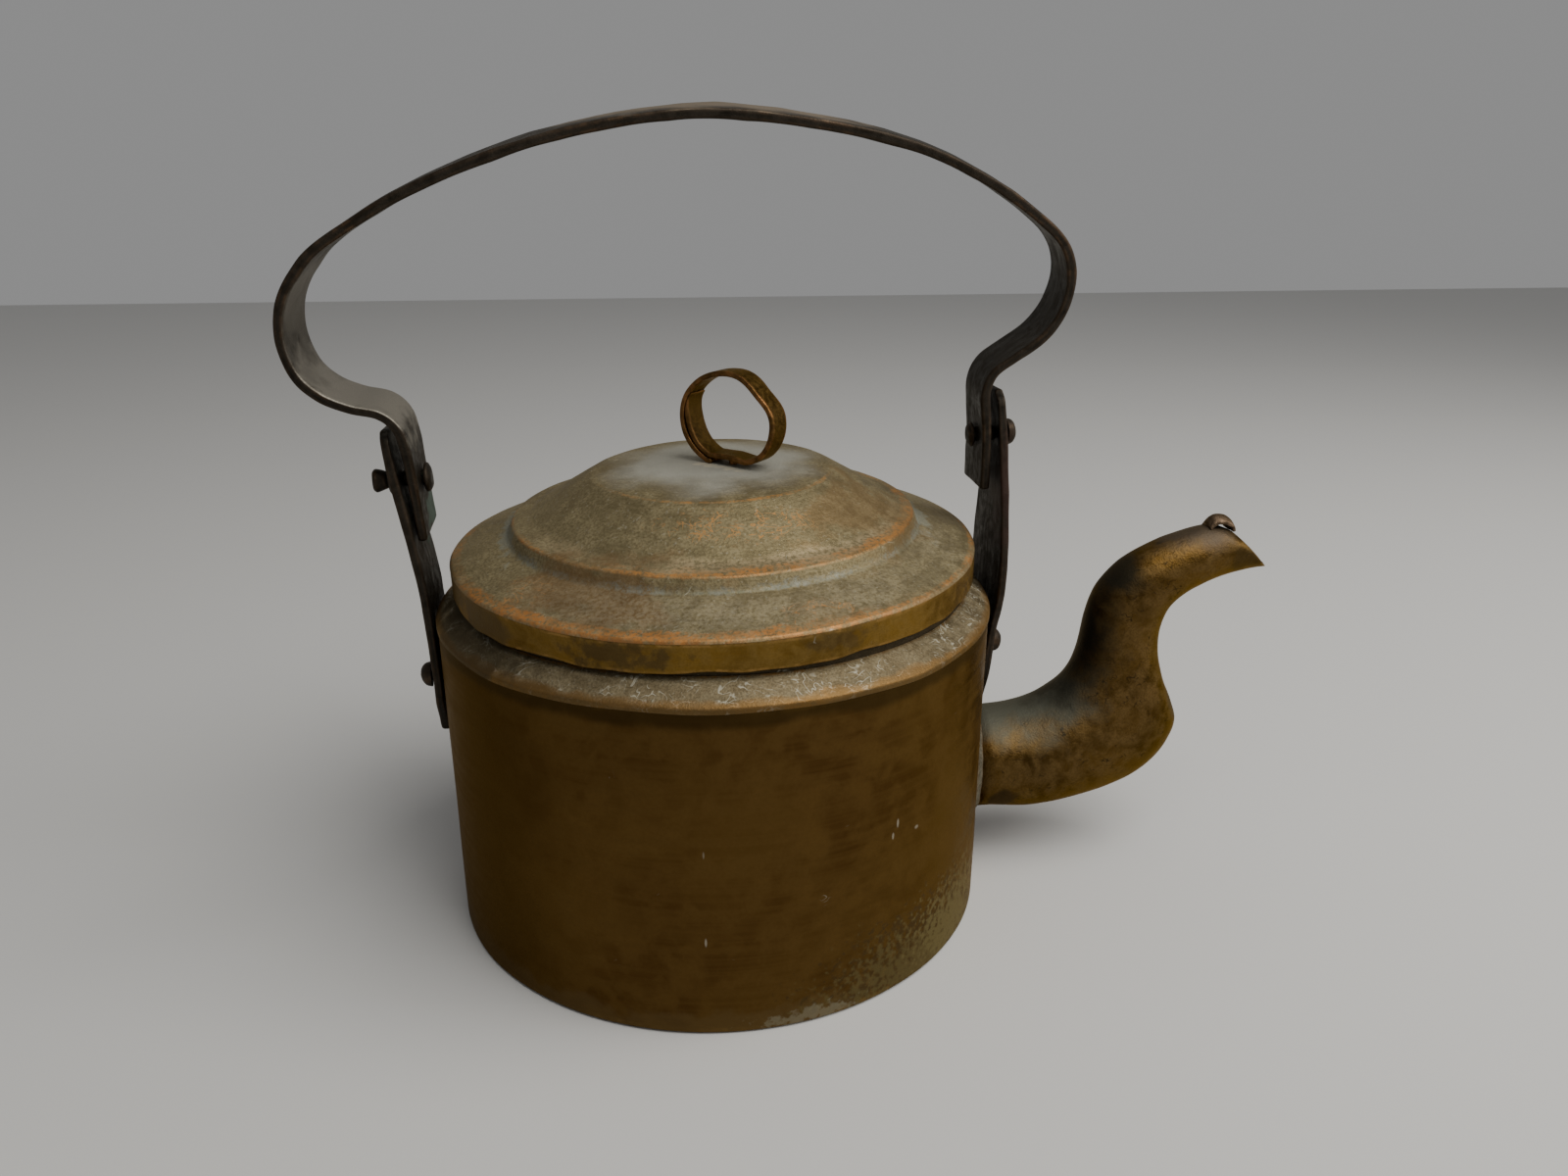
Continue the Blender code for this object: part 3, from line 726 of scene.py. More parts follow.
class Groups:
    """The shader node groups that the finishes share, each made once."""

    made: dict[str, bpy.types.NodeTree] = {}

    @classmethod
    def use(cls, n: Nodes, name: str, **wires: object) -> Sockets:
        """Adds a group to a material, makes it the first time and returns its outputs."""
        if name not in cls.made:
            cls.made[name] = getattr(cls, name)().nodes.tree
        return n.add("ShaderNodeGroup", wires, node_tree=cls.made[name]).outputs

    @staticmethod
    def start(name: str, inputs: dict, *outputs: str) -> Group:
        """Starts a group; an input is a vector or a number, and each output a number."""
        sockets = {}
        for label, value in inputs.items():
            kind = "NodeSocketVector" if isinstance(value, tuple) else "NodeSocketFloat"
            sockets[label] = (kind, value)
        return Group.start("ShaderNodeTree", name, sockets, dict.fromkeys(outputs, "NodeSocketFloat"))

    @classmethod
    def mottle(cls) -> Group:
        """Clouds, blotches and fine grains in metal that has aged."""
        inputs = {"Position": ORIGIN, "Size": 30.0}
        group = cls.start("mottle", inputs, "Clouds", "Blotches", "Grains", "Specks")
        n, place, size = group.nodes, group.take("Position"), group.take("Size")
        shift = n.noise(place, n.times(size, 1.6), 2.0, "Color")
        bent = n.vector("ADD", place, n.scaled(shift, 0.02))
        for label, over, finer, detail, low, high in (
            ("Clouds", bent, 1.0, 4.0, 0.34, 0.66),
            ("Blotches", bent, 6.0, 6.0, 0.38, 0.66),
            ("Grains", place, 45.0, 4.0, 0.35, 0.7),
            ("Specks", bent, 34.0, 2.0, 0.62, 0.72),
        ):
            value = n.noise(over, n.times(size, finer), detail)
            group.give(label, n.ramp(value, low, high))
        return group

    @classmethod
    def streaks(cls) -> Group:
        """Faint long marks that follow the grain of the metal."""
        group = cls.start("streaks", {"Grain": ORIGIN, "Long": 12.0, "Thin": 420.0}, "Streak")
        n, take = group.nodes, group.take
        scale = n.add("ShaderNodeCombineXYZ", {0: take("Long"), 1: take("Thin")}).outputs[0]
        value = n.noise(n.vector("MULTIPLY", take("Grain"), scale), 1.0, 5.0)
        group.give("Streak", n.ramp(value, 0.36, 0.64))
        return group

    @classmethod
    def scratches(cls) -> Group:
        """Clusters of thin bent scratches that run several ways."""
        inputs = {"Position": ORIGIN, "Amount": 0.5}
        group = cls.start("scratches", inputs, "Scratch", "Everywhere")
        n, masks, lines = group.nodes, [], []
        limit = n.between(group.take("Amount"), 0.70, 0.44)
        for number, turn in enumerate((0.25, 1.35, 2.45)):
            wires = {"Vector": group.take("Position"), "Location": (number * 1.1, 0.4, 0.2)}
            wires["Rotation"] = (0.2, 0.3, turn)
            turned = n.add("ShaderNodeMapping", wires).outputs[0]
            hairs = n.noise(n.vector("MULTIPLY", turned, (110.0, 330.0, 260.0)), 1.0, 1.0)
            line = n.minus(1.0, n.ramp(n.maths("ABSOLUTE", n.minus(hairs, 0.5)), 0.006, 0.026))
            gaps = n.noise(n.vector("MULTIPLY", turned, (55.0, 150.0, 150.0)), 1.0, 2.0)
            lines.append(n.times(line, n.ramp(gaps, 0.5, 0.58)))
            clusters = n.noise(turned, 46.0, 3.0)
            masks.append(n.times(lines[-1], n.ramp(clusters, limit, n.plus(limit, 0.07))))
        group.give("Scratch", n.greatest(masks))
        group.give("Everywhere", n.greatest(lines))
        return group

    @classmethod
    def rubbed(cls) -> Group:
        """Where proud edges have been rubbed back to the bare metal."""
        inputs = {"Position": ORIGIN, "Bend": 0.0, "Amount": 0.5}
        group = cls.start("rubbed", inputs, "Mask")
        n, place = group.nodes, group.take("Position")
        chips = n.ramp(n.noise(place, 230.0, 6.0), 0.42, 0.6)
        clouds = n.ramp(n.noise(place, 24.0, 3.0), 0.42, 0.62)
        chance = n.plus(0.25, n.times(n.times(chips, clouds), 1.1))
        edge = n.ramp(group.take("Bend"), 0.1, 0.75)
        value = n.times(n.times(edge, chance), group.take("Amount"))
        group.give("Mask", n.maths("MINIMUM", value, 1.0))
        return group

    @classmethod
    def band(cls) -> Group:
        """A ragged line at one place on an outline."""
        inputs = {"Position": ORIGIN, "Grain": ORIGIN, "At": 0.0, "Width": 0.002}
        group = cls.start("band", {**inputs, "Size": 160.0, "Ragged": 0.6}, "Mask")
        n, take = group.nodes, group.take
        off = n.maths("ABSOLUTE", n.minus(n.parts(take("Grain"))[1], take("At")))
        line = cls.frayed(group, n.maths("DIVIDE", off, take("Width")), 4.0, 0.35)
        gaps = n.ramp(n.noise(take("Position"), n.times(take("Size"), 0.3), 5.0), 0.4, 0.62)
        grains = n.ramp(n.noise(take("Position"), 620.0, 3.0), 0.32, 0.62)
        broken = n.times(n.plus(0.2, n.times(gaps, 0.8)), grains)
        group.give("Mask", n.times(line, broken))
        return group

    @classmethod
    def patch(cls) -> Group:
        """A ragged patch about a centre."""
        inputs = {"Position": ORIGIN, "Centre": ORIGIN, "Reach": (1.0, 1.0, 1.0)}
        group = cls.start("patch", {**inputs, "Size": 90.0, "Ragged": 0.9}, "Mask")
        n, take = group.nodes, group.take
        away = n.vector("SUBTRACT", take("Position"), take("Centre"))
        far = n.measure("LENGTH", n.vector("DIVIDE", away, take("Reach")))
        group.give("Mask", cls.frayed(group, far, 6.0, 0.45))
        return group

    @staticmethod
    def frayed(group: Group, far: Socket, detail: float, core: float) -> Socket:
        """Makes the edge of a mark ragged.

        Args:
            group: The mark's group, with the inputs Position, Size and Ragged.
            far: How far out a point is, which is 1 at the mark's edge.
            detail: How fine the edge's noise is.
            core: How far out the mark is still whole.

        Returns:
            The mask, 1 inside and 0 outside.
        """
        n, take = group.nodes, group.take
        chance = n.noise(take("Position"), take("Size"), detail)
        spread = n.times(n.minus(chance, 0.5), n.times(take("Ragged"), 3.0))
        return n.minus(1.0, n.ramp(n.plus(far, spread), core, 1.0))


@dataclass
class Coat:
    """The surface of one material while it is built up: where it is and what it shows."""

    nodes: Nodes
    place: Socket
    facing: Socket
    grain: Socket
    mottle: Sockets
    streak: Socket
    scratches: Sockets
    colour: object
    rough: object
    metallic: object

    def lay(
        self, mask: Socket, colour: object = None, rough: object = None, metallic: object = None
    ) -> None:
        """Lays something over the surface.

        Args:
            mask: Where it lies.
            colour: Its colour; each of the three stays as it was where none is given.
            rough: Its roughness.
            metallic: How much of it is bare metal.
        """
        if colour is not None:
            self.colour = self.nodes.mix(mask, self.colour, colour)
        if rough is not None:
            self.rough = self.nodes.between(mask, self.rough, rough)
        if metallic is not None:
            self.metallic = self.nodes.between(mask, self.metallic, metallic)


@dataclass(frozen=True)
class Finish:
    """Aged metal: its colours, how rough it is and what lies on it."""

    name: str
    slot: str
    dark: Colour
    middle: Colour
    light: Colour
    size: float = 26.0
    roughness: tuple[float, float] = (0.38, 0.6)
    metallic: float = 0.9
    streak: float = 0.25
    streak_scale: tuple[float, float] = (12.0, 420.0)
    grains: float = 0.25
    specks: float = 0.0
    specular: float = 0.3
    worn: Colour = Tone.COPPER_WORN.value
    wear: float = 0.5
    green: Colour = Tone.VERDIGRIS.value
    verdigris: float = 0.5
    # how strongly shade is painted into the hollows
    hollow_shade: float = 0.6
    scratch: float = 0.0
    scratch_colour: Colour = Tone.CHALK.value
    pits: float = 0.12
    marks: float = 0.0
    mark_size: float = 130.0
    inside: Colour = Tone.TIN.value
    tint: Colour = (0.8, 0.55, 0.2)
    patches: tuple[Patch, ...] = ()
    bands: tuple[Band, ...] = ()

    def material(self) -> bpy.types.Material:
        """Returns this finish's material and builds it the first time."""
        found = bpy.data.materials.get(self.name)
        if found is None:
            found = bpy.data.materials.new(self.name)
            found.use_nodes = True
            self.fill(Nodes(found.node_tree), found.node_tree.nodes["Principled BSDF"])
        return found

    @staticmethod
    def mark(n: Nodes, name: str, output: str = "Fac") -> Socket:
        """Returns one of the mesh's attributes."""
        return n.add("ShaderNodeAttribute", attribute_name=name).outputs[output]

    def fill(self, n: Nodes, shader: bpy.types.Node) -> None:
        """Builds the material's nodes.

        Args:
            n: The material's nodes.
            shader: Its Principled shader.
        """
        coat = self.metal(n)
        self.wear_down(coat)
        for patch in self.patches:
            self.lay_patch(coat, patch)
        for band in self.bands:
            self.lay_band(coat, band)
        dull = n.mix(n.times(coat.mottle["Blotches"], 0.6), self.inside, self.dark)
        coat.lay(self.mark(n, "inner"), dull, 0.62)
        shader.inputs["Specular IOR Level"].default_value = self.specular
        shader.inputs["Specular Tint"].default_value = (*(0.25 + 0.75 * value for value in self.tint), 1)
        wires = {"Height": self.relief(coat), "Distance": 0.0006, "Strength": 0.6}
        bump = n.add("ShaderNodeBump", wires).outputs[0]
        looks = (coat.colour, coat.rough, coat.metallic, bump)
        for name, value in zip(("Base Color", "Roughness", "Metallic", "Normal"), looks):
            n.tree.links.new(value, shader.inputs[name])

    def metal(self, n: Nodes) -> Coat:
        """Returns the aged metal before anything lies on it."""
        coordinates = n.add("ShaderNodeTexCoord").outputs
        place, grain = coordinates["Object"], self.mark(n, "grain", "Vector")
        mottle = Groups.use(n, "mottle", Position=place, Size=self.size)
        long, thin = self.streak_scale
        streak = Groups.use(n, "streaks", Grain=grain, Long=long, Thin=thin)[0]
        scratches = Groups.use(n, "scratches", Position=place, Amount=self.scratch)
        rough = n.between(mottle["Blotches"], *self.roughness)
        rough = n.plus(rough, n.times(n.minus(streak, 0.5), 0.12))
        colour = n.mix(mottle["Clouds"], self.dark, self.middle)
        facing = coordinates["Normal"]
        coat = Coat(n, place, facing, grain, mottle, streak, scratches, colour, rough, self.metallic)
        coat.lay(n.times(mottle["Blotches"], 0.6), self.light)
        coat.lay(n.times(streak, self.streak), self.light)
        coat.lay(n.times(mottle["Grains"], self.grains), self.dark)
        coat.lay(n.times(mottle["Specks"], self.specks), Tone.CHALK.value)
        return coat

    def wear_down(self, coat: Coat) -> None:
        """Rubs the edges bare, paints shade into the hollows, lays verdigris in them and scratches the
        surface.
        """
        n, hollow = coat.nodes, self.mark(coat.nodes, "hollow")
        bare = Groups.use(n, "rubbed", Position=coat.place, Bend=self.mark(n, "worn"), Amount=self.wear)[0]
        coat.lay(bare, self.worn, 0.34)
        # Painted shade: the hollows darken towards a darker copy of the metal's dark colour.
        hollow_shade = tuple(value * 0.35 for value in self.dark)
        coat.lay(n.times(n.ramp(hollow, 0.1, 0.8), self.hollow_shade), hollow_shade)
        green = Groups.use(n, "rubbed", Position=coat.place, Bend=hollow, Amount=self.verdigris)[0]
        coat.lay(n.times(green, 0.75), self.green)
        coat.lay(green, rough=0.85, metallic=0.1)
        if self.scratch > 0:
            coat.lay(n.times(coat.scratches["Scratch"], 0.75), self.scratch_colour)

    @staticmethod
    def lay_patch(coat: Coat, patch: Patch) -> None:
        """Lays a patch, over all of its place or only along scratches, or as painted light only on the faces
        that turn one way.
        """
        n = coat.nodes
        centre, reach = (tuple(value * MM for value in size) for size in (patch.centre, patch.reach))
        wires = {"Centre": centre, "Reach": reach, "Size": patch.size, "Ragged": patch.ragged}
        mask = n.times(Groups.use(n, "patch", Position=coat.place, **wires)[0], patch.strength)
        if patch.scratched > 0:
            mask = n.times(mask, n.between(patch.scratched, 1.0, coat.scratches["Everywhere"]))
        # Painted light: the patch lies only on the faces that turn its side's way.
        if any(patch.side):
            facing = n.measure("DOT_PRODUCT", coat.facing, patch.side)
            mask = n.times(mask, n.ramp(facing, 0.2, 0.6))
        coat.lay(mask, patch.colour, patch.roughness, patch.metallic)

    @staticmethod
    def lay_band(coat: Coat, band: Band) -> None:
        """Lays a band, all the way round or on one side."""
        n = coat.nodes
        wires = {"At": band.at * MM, "Width": band.width * MM, "Size": band.size, "Ragged": band.ragged}
        mask = Groups.use(n, "band", Position=coat.place, Grain=coat.grain, **wires)[0]
        mask = n.times(mask, band.strength)
        if any(band.toward):
            flat = n.vector("NORMALIZE", n.vector("MULTIPLY", coat.place, (1.0, 1.0, 0.0)))
            mask = n.times(mask, n.ramp(n.measure("DOT_PRODUCT", flat, band.toward), 0.0, 0.8))
        coat.lay(mask, band.colour)

    def relief(self, coat: Coat) -> Socket:
        """Returns the height of the pits, the streaks and the hammer marks."""
        n = coat.nodes
        height = n.times(coat.mottle["Grains"], self.pits)
        height = n.plus(height, n.times(coat.mottle["Blotches"], self.pits))
        height = n.plus(height, n.times(coat.streak, self.pits * 0.7))
        if self.marks > 0:
            height = n.plus(height, n.times(n.cells(coat.place, self.mark_size, 0.4), self.marks))
        return height


WALL = Finish(
    "aged_wall",
    "wall_copper",
    dark=(0.062, 0.031, 0.0085),
    middle=(0.090, 0.050, 0.0138),
    light=(0.128, 0.074, 0.022),
    size=16.0,
    roughness=(0.42, 0.56),
    metallic=1.0,
    streak=0.35,
    streak_scale=(5.0, 300.0),
    grains=0.15,
    worn=(0.20, 0.115, 0.03),
    wear=0.7,
    verdigris=0.2,
    scratch=0.03,
    pits=0.05,
    inside=(0.12, 0.105, 0.08),
    tint=(0.75, 0.58, 0.36),
    patches=(
        Patch((0, 0, 3), (400, 400, 9), (0.095, 0.060, 0.018), 0.5, 75.0, 0.8),
        # Painted shade: the wall's left flank, away from the key light, is painted darker.
        Patch((-125, -60, 70), (78, 130, 160), (0.045, 0.023, 0.006), 0.6, 12.0, 0.3, 0.5, 1.0),
        Patch((84, -88, 8), (62, 62, 28), (0.040, 0.026, 0.009), 0.6, 330.0, 1.0, 0.7, 0.6),
        Patch((84, -88, 6), (60, 60, 24), (0.115, 0.090, 0.032), 0.6, 420.0, 1.15, 0.75, 0.5),
        Patch((96, -72, 14), (34, 34, 24), (0.150, 0.120, 0.045), 0.5, 420.0, 1.15, 0.75, 0.5),
        Patch((26, -117, 2.5), (22, 20, 4.5), (0.19, 0.17, 0.11), 0.6, 330.0, 1.1, 0.8, 0.2),
        Patch((0, 0, 136), (400, 400, 7), (0.030, 0.018, 0.005), 0.7, 26.0, 0.5, 0.6, 0.9),
        Patch((-14, -119, 42), (0.6, 6, 2.4), Tone.CHALK.value, 0.55, 90.0, 0.2),
        Patch((62, -102, 78), (0.6, 6, 2.4), Tone.CHALK.value, 0.5, 90.0, 0.2),
        Patch((60, -103, 73), (0.6, 6, 1.8), Tone.CHALK.value, 0.5, 90.0, 0.2),
        Patch((71, -96, 72), (1.2, 6, 1.2), Tone.CHALK.value, 0.45, 90.0, 0.2),
        Patch((-14, -119, 80), (0.5, 6, 2.0), Tone.CHALK.value, 0.3, 90.0, 0.2),
    ),
)
PATINA = Finish(
    "patinated_sheet",
    "patina_copper",
    dark=(0.062, 0.047, 0.024),
    middle=(0.160, 0.125, 0.070),
    light=(0.250, 0.208, 0.128),
    size=26.0,
    roughness=(0.48, 0.66),
    metallic=0.45,
    streak=0.2,
    grains=0.6,
    specks=0.3,
    worn=(0.24, 0.13, 0.04),
    wear=0.8,
    verdigris=0.4,
    scratch=0.8,
    patches=(
        Patch((0, 0, 138.0), (400, 400, 3.6), (0.105, 0.060, 0.018), 0.75, 120.0, 0.35, 0.5, 0.8),
        Patch((0, 0, 139.8), (400, 400, 1.8), (0.26, 0.145, 0.05), 0.5, 60.0, 0.8, 0.45, 0.8, 0.4),
        # Painted shade: the shoulder's left front, away from the key light, is painted darker.
        Patch((-104, -54, 142), (40, 60, 14), (0.030, 0.024, 0.014), 0.65, 60.0, 0.8, 0.6, 0.5),
    ),
)
# The neck is the shoulder's patina painted much darker: painted shade for the gap under the lid's skirt.
SHADED_NECK = replace(
    PATINA,
    name="patinated_neck_painted_shade",
    dark=(0.020, 0.015, 0.009),
    middle=(0.040, 0.030, 0.017),
    light=(0.070, 0.055, 0.032),
    specks=0.1,
    scratch=0.2,
    patches=(),
)
LID = Finish(
    "patinated_lid",
    "patina_copper",
    dark=(0.124, 0.099, 0.050),
    middle=(0.228, 0.190, 0.102),
    light=(0.298, 0.250, 0.143),
    size=20.0,
    roughness=(0.42, 0.62),
    metallic=0.5,
    streak=0.15,
    grains=0.85,
    specks=0.3,
    wear=0.7,
    verdigris=0.7,
    hollow_shade=0.35,
    scratch=0.22,
    patches=(
        Patch((0, 0, 198.6), (54, 54, 12), (0.430, 0.430, 0.380), 0.8, 26.0, 0.3, 0.6, 0.5),
        Patch((-50, -80, 170), (50, 30, 12), (0.20, 0.105, 0.04), 0.45, 50.0, 1.0, 0.5, 0.7),
        Patch((60, -40, 184), (40, 40, 14), (0.21, 0.125, 0.05), 0.4, 60.0, 1.0, 0.5, 0.7),
        Patch((6, -62, 188), (42, 16, 7), (0.38, 0.20, 0.07), 1.0, 260.0, 0.4, scratched=1.0),
        Patch((-76, -66, 165), (14, 14, 6), (0.36, 0.18, 0.06), 0.8, 260.0, 0.6, scratched=0.9),
        Patch((32, -98, 164.5), (16, 12, 6), (0.36, 0.18, 0.06), 0.9, 260.0, 0.6, scratched=0.9),
        Patch((-88, 0, 172.5), (5, 50, 6), (0.18, 0.195, 0.165), 0.6, 160.0, 0.9, 0.85, 0.1),
        Patch((89, -14, 175), (5, 44, 6), (0.18, 0.195, 0.165), 0.6, 160.0, 0.9, 0.85, 0.1),
        *(
            Patch(
                (3.4 + along * math.cos(RING_TURN), -12 + along * math.sin(RING_TURN), 199.2),
                (4.2, 3.0, 1.8),
                (0.48, 0.44, 0.34),
                1.0,
                330.0,
                0.45,
            )
            for along in (-12, -7, -2, 3, 8)
        ),
    ),
    bands=(
        # Painted highlight: a pale band on the front of the ridge's top ledge.
        Band(84.5, 6.0, (0.40, 0.31, 0.18), 0.8, 60.0, 0.4, (0.2, -0.98, 0)),
        # Painted highlight: a faint pale band over the front of the brim.
        Band(107.0, 14.0, (0.40, 0.35, 0.24), 0.32, 40.0, 0.4, (0.35, -0.94, 0)),
        Band(51.2, 1.2, (0.40, 0.21, 0.07), 0.95, 200.0, 0.6, (0.1, -1, 0)),
        Band(89.6, 1.5, (0.42, 0.20, 0.06), 1.0, 160.0, 0.7, (0.05, -1, 0)),
        Band(88.0, 3.4, (0.42, 0.19, 0.055), 1.0, 200.0, 0.8, (0.72, -0.69, 0)),
        Band(119.5, 3.4, (0.42, 0.18, 0.05), 1.0, 110.0, 0.8, (-0.62, -0.78, 0)),
        Band(120.4, 1.5, (0.40, 0.19, 0.06), 1.0, 160.0, 0.6, (0.6, -0.8, 0)),
        Band(96.0, 2.4, (0.20, 0.205, 0.170), 0.75, 220.0, 0.8),
    ),
)
RING = Finish(
    "ring_strap",
    "spout_copper",
    dark=(0.026, 0.015, 0.006),
    middle=(0.088, 0.050, 0.014),
    light=(0.185, 0.110, 0.032),
    size=60.0,
    roughness=(0.36, 0.52),
    metallic=0.9,
    grains=0.5,
    worn=(0.30, 0.14, 0.05),
    wear=0.7,
    verdigris=0.1,
    scratch=0.1,
    pits=0.1,
)
RUBBED = Finish(
    "rubbed_sheet",
    "spout_copper",
    dark=(0.095, 0.052, 0.010),
    middle=(0.185, 0.105, 0.020),
    light=(0.23, 0.145, 0.042),
    size=28.0,
    roughness=(0.36, 0.52),
    metallic=0.95,
    streak=0.3,
    grains=0.3,
    worn=(0.36, 0.21, 0.07),
    wear=0.4,
    verdigris=0.3,
    tint=(0.78, 0.6, 0.38),
    scratch=0.12,
    pits=0.1,
    marks=0.3,
    patches=(
        # Painted shade: the skirt's left front, away from the key light, is painted darker.
        Patch((-100, -60, 156), (30, 50, 14), (0.07, 0.045, 0.012), 0.7, 70.0),
        Patch((-44, -104, 155), (30, 10, 7), (0.045, 0.030, 0.011), 0.65, 140.0, 1.0),
        Patch((40, -106, 157), (24, 10, 6), (0.050, 0.034, 0.012), 0.5, 140.0, 1.0),
    ),
)
SPOUT = Finish(
    "worked_spout",
    "spout_copper",
    dark=(0.042, 0.023, 0.006),
    middle=(0.103, 0.057, 0.014),
    light=(0.165, 0.104, 0.038),
    size=24.0,
    roughness=(0.40, 0.56),
    metallic=0.95,
    streak=0.3,
    streak_scale=(260.0, 90.0),
    grains=0.4,
    worn=(0.34, 0.21, 0.08),
    wear=0.5,
    verdigris=0.3,
    scratch=0.7,
    scratch_colour=(0.018, 0.013, 0.007),
    pits=0.12,
    marks=0.35,
    mark_size=150.0,
    patches=(
        Patch((142, 0, 84), (52, 40, 30), (0.080, 0.084, 0.066), 0.92, 60.0, 0.35, 0.6, 0.5),
        Patch((160, 0, 116), (34, 40, 50), (0.016, 0.015, 0.011), 0.95, 60.0, 0.35, 0.5, 0.6),
        Patch((178, 0, 144), (24, 40, 14), (0.018, 0.017, 0.012), 0.9, 60.0, 0.35, 0.5, 0.6),
        Patch((230, 0, 84), (19, 40, 40), (0.022, 0.023, 0.015), 0.85, 90.0, 0.4, 0.6, 0.5),
        Patch((132, -20, 36), (8, 14, 8), (0.025, 0.015, 0.006), 0.8, 90.0, 0.6, 0.6, 0.7),
        Patch((206, 0, 162), (44, 40, 13), (0.070, 0.055, 0.041), 0.85, 60.0, 0.45, 0.5, 0.6),
        Patch((246, -6, 150), (14, 16, 10), (0.045, 0.030, 0.010), 0.6, 120.0, 0.7, 0.5, 0.8),
    ),
)
FORGED = Finish(
    "forged_dark",
    "dark_copper",
    dark=(0.009, 0.0078, 0.0058),
    middle=(0.019, 0.0155, 0.011),
    light=(0.044, 0.036, 0.027),
    size=34.0,
    roughness=(0.40, 0.6),
    metallic=0.6,
    streak=0.35,
    streak_scale=(40.0, 260.0),
    worn=(0.13, 0.075, 0.040),
    wear=0.3,
    verdigris=0.3,
    hollow_shade=0.3,
    specular=0.2,
    tint=(0.8, 0.75, 0.65),
    pits=0.12,
    marks=0.35,
    mark_size=90.0,
    patches=(
        # Painted highlight: pale tan on the faces of the bail's top that turn up.
        Patch((6, 0, 340), (150, 40, 14), (0.26, 0.205, 0.145), 0.75, 60.0, 0.35, 0.45, 0.7, side=(0, 0, 1)),
        # Painted highlight: pale grey on the faces of the rear bulge that turn up and inwards.
        Patch(
            (-150, 0, 230), (52, 40, 28), (0.26, 0.24, 0.20), 0.9, 130.0, 0.4, 0.5, 0.7, side=(0.6, 0, 0.8)
        ),
        # Painted highlight: lighter on the inner faces of the bail's upper rear bulge.
        Patch((-160, 0, 272), (18, 40, 50), (0.12, 0.11, 0.092), 0.8, 60.0, 0.6, 0.42, 0.7, side=(1, 0, 0.2)),
        Patch((-122, 8, 178), (6, 12, 14), (0.12, 0.17, 0.14), 0.6, 160.0, 0.9, 0.8, 0.2),
        Patch((128, -8, 178), (8, 20, 40), (0.050, 0.027, 0.022), 0.6, 60.0, 0.8, 0.5, 0.6),
    ),
)
TAB = Finish(
    "folded_tab",
    "dark_copper",
    dark=(0.020, 0.014, 0.008),
    middle=(0.050, 0.034, 0.020),
    light=(0.10, 0.068, 0.042),
    size=90.0,
    roughness=(0.4, 0.55),
    metallic=0.8,
    worn=(0.22, 0.15, 0.10),
    wear=0.5,
    verdigris=0.0,
)
SOLDERED = Finish(
    "soldered_collar",
    "patina_copper",
    dark=(0.070, 0.060, 0.040),
    middle=(0.11, 0.095, 0.065),
    light=(0.20, 0.185, 0.14),
    size=60.0,
    roughness=(0.5, 0.7),
    metallic=0.6,
    wear=0.5,
    verdigris=0.6,
    marks=0.5,
    mark_size=230.0,
)


# -------------------------------------------------------------------- pieces


@dataclass
class Hole:
    """A round hole through a piece."""

    start: Vector
    end: Vector
    radius: float

    def cut(self, obj: bpy.types.Object) -> None:
        """Cuts the hole out of an object."""
        span = self.end - self.start
        place = Matrix.Translation((self.start + self.end) / 2)
        turn = span.to_track_quat("Z", "X").to_matrix().to_4x4()
        made = bmesh.new()
        bmesh.ops.create_cone(
            made,
            cap_ends=True,
            segments=48,
            radius1=self.radius,
            radius2=self.radius,
            depth=span.length,
            matrix=place @ turn,
        )
        drill = new_object("drill", finished_mesh("drill", made))
        cut = obj.modifiers.new("hole", "BOOLEAN")
        cut.operation = "DIFFERENCE"
        cut.solver = "EXACT"
        cut.object = drill
        settle(obj)
        bpy.data.objects.remove(drill)


@dataclass
class Smithy:
    """The trees that every piece is worked with."""

    skin: SkinTree = field(default_factory=SkinTree)
    forge: ForgeTree = field(default_factory=ForgeTree)
    rivet: RivetTree = field(default_factory=RivetTree)


@dataclass
class Piece:
    """One separate piece of the kettle.

    The piece takes the place of the frame's node of the same name and moves with
    one body. Sizes are in metres.
    """

    name: str
    body: str
    finish: Finish
    path: Path
    section: Section
    warp: float = 0.0
    warp_size: float = 0.07
    dents: float = 0.0
    dent_size: float = 0.012
    seed: float = 0.0
    shaper: Shaper | None = None
    holes: tuple[Hole, ...] = ()

    def build(self, smithy: Smithy) -> bpy.types.Object:
        """Makes the piece.

        Args:
            smithy: The trees to work it with.

        Returns:
            The finished object, riding on its body.
        """
        obj = self.skin(smithy, "look_" + self.name)
        for hole in self.holes:
            hole.cut(obj)
        self.work_metal(smithy, obj)
        return self.place(obj)

    def skin(self, smithy: Smithy, name: str) -> bpy.types.Object:
        """Returns a new object with the bare skin, its faces outwards."""
        obj = skin_mesh(name, self.path, self.section)
        smithy.skin.work(
            obj,
            self.finish.material(),
            Stations=len(self.path.points),
            Corners=len(self.section.points),
            Joined_Stations=int(self.path.closed),
            Joined_Corners=int(self.section.closed),
        )
        face_outwards(obj.data)
        return obj

    def work_metal(self, smithy: Smithy, obj: bpy.types.Object) -> None:
        """Warps, hammers and marks the skin."""
        if self.shaper is not None:
            reshape(obj.data, self.shaper)
        smithy.forge.work(
            obj,
            self.finish.material(),
            Warp=self.warp,
            Warp_Size=self.warp_size,
            Dents=self.dents,
            Dent_Size=self.dent_size,
            Seed=self.seed,
        )
        mark_bends(obj.data)

    def place(self, obj: bpy.types.Object) -> bpy.types.Object:
        """Puts the piece in its node's place and reports it."""
        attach(obj, self.body)
        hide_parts(self.name)
        LOG.info("%s: %d faces on %s", self.name, len(obj.data.polygons), self.body)
        return obj


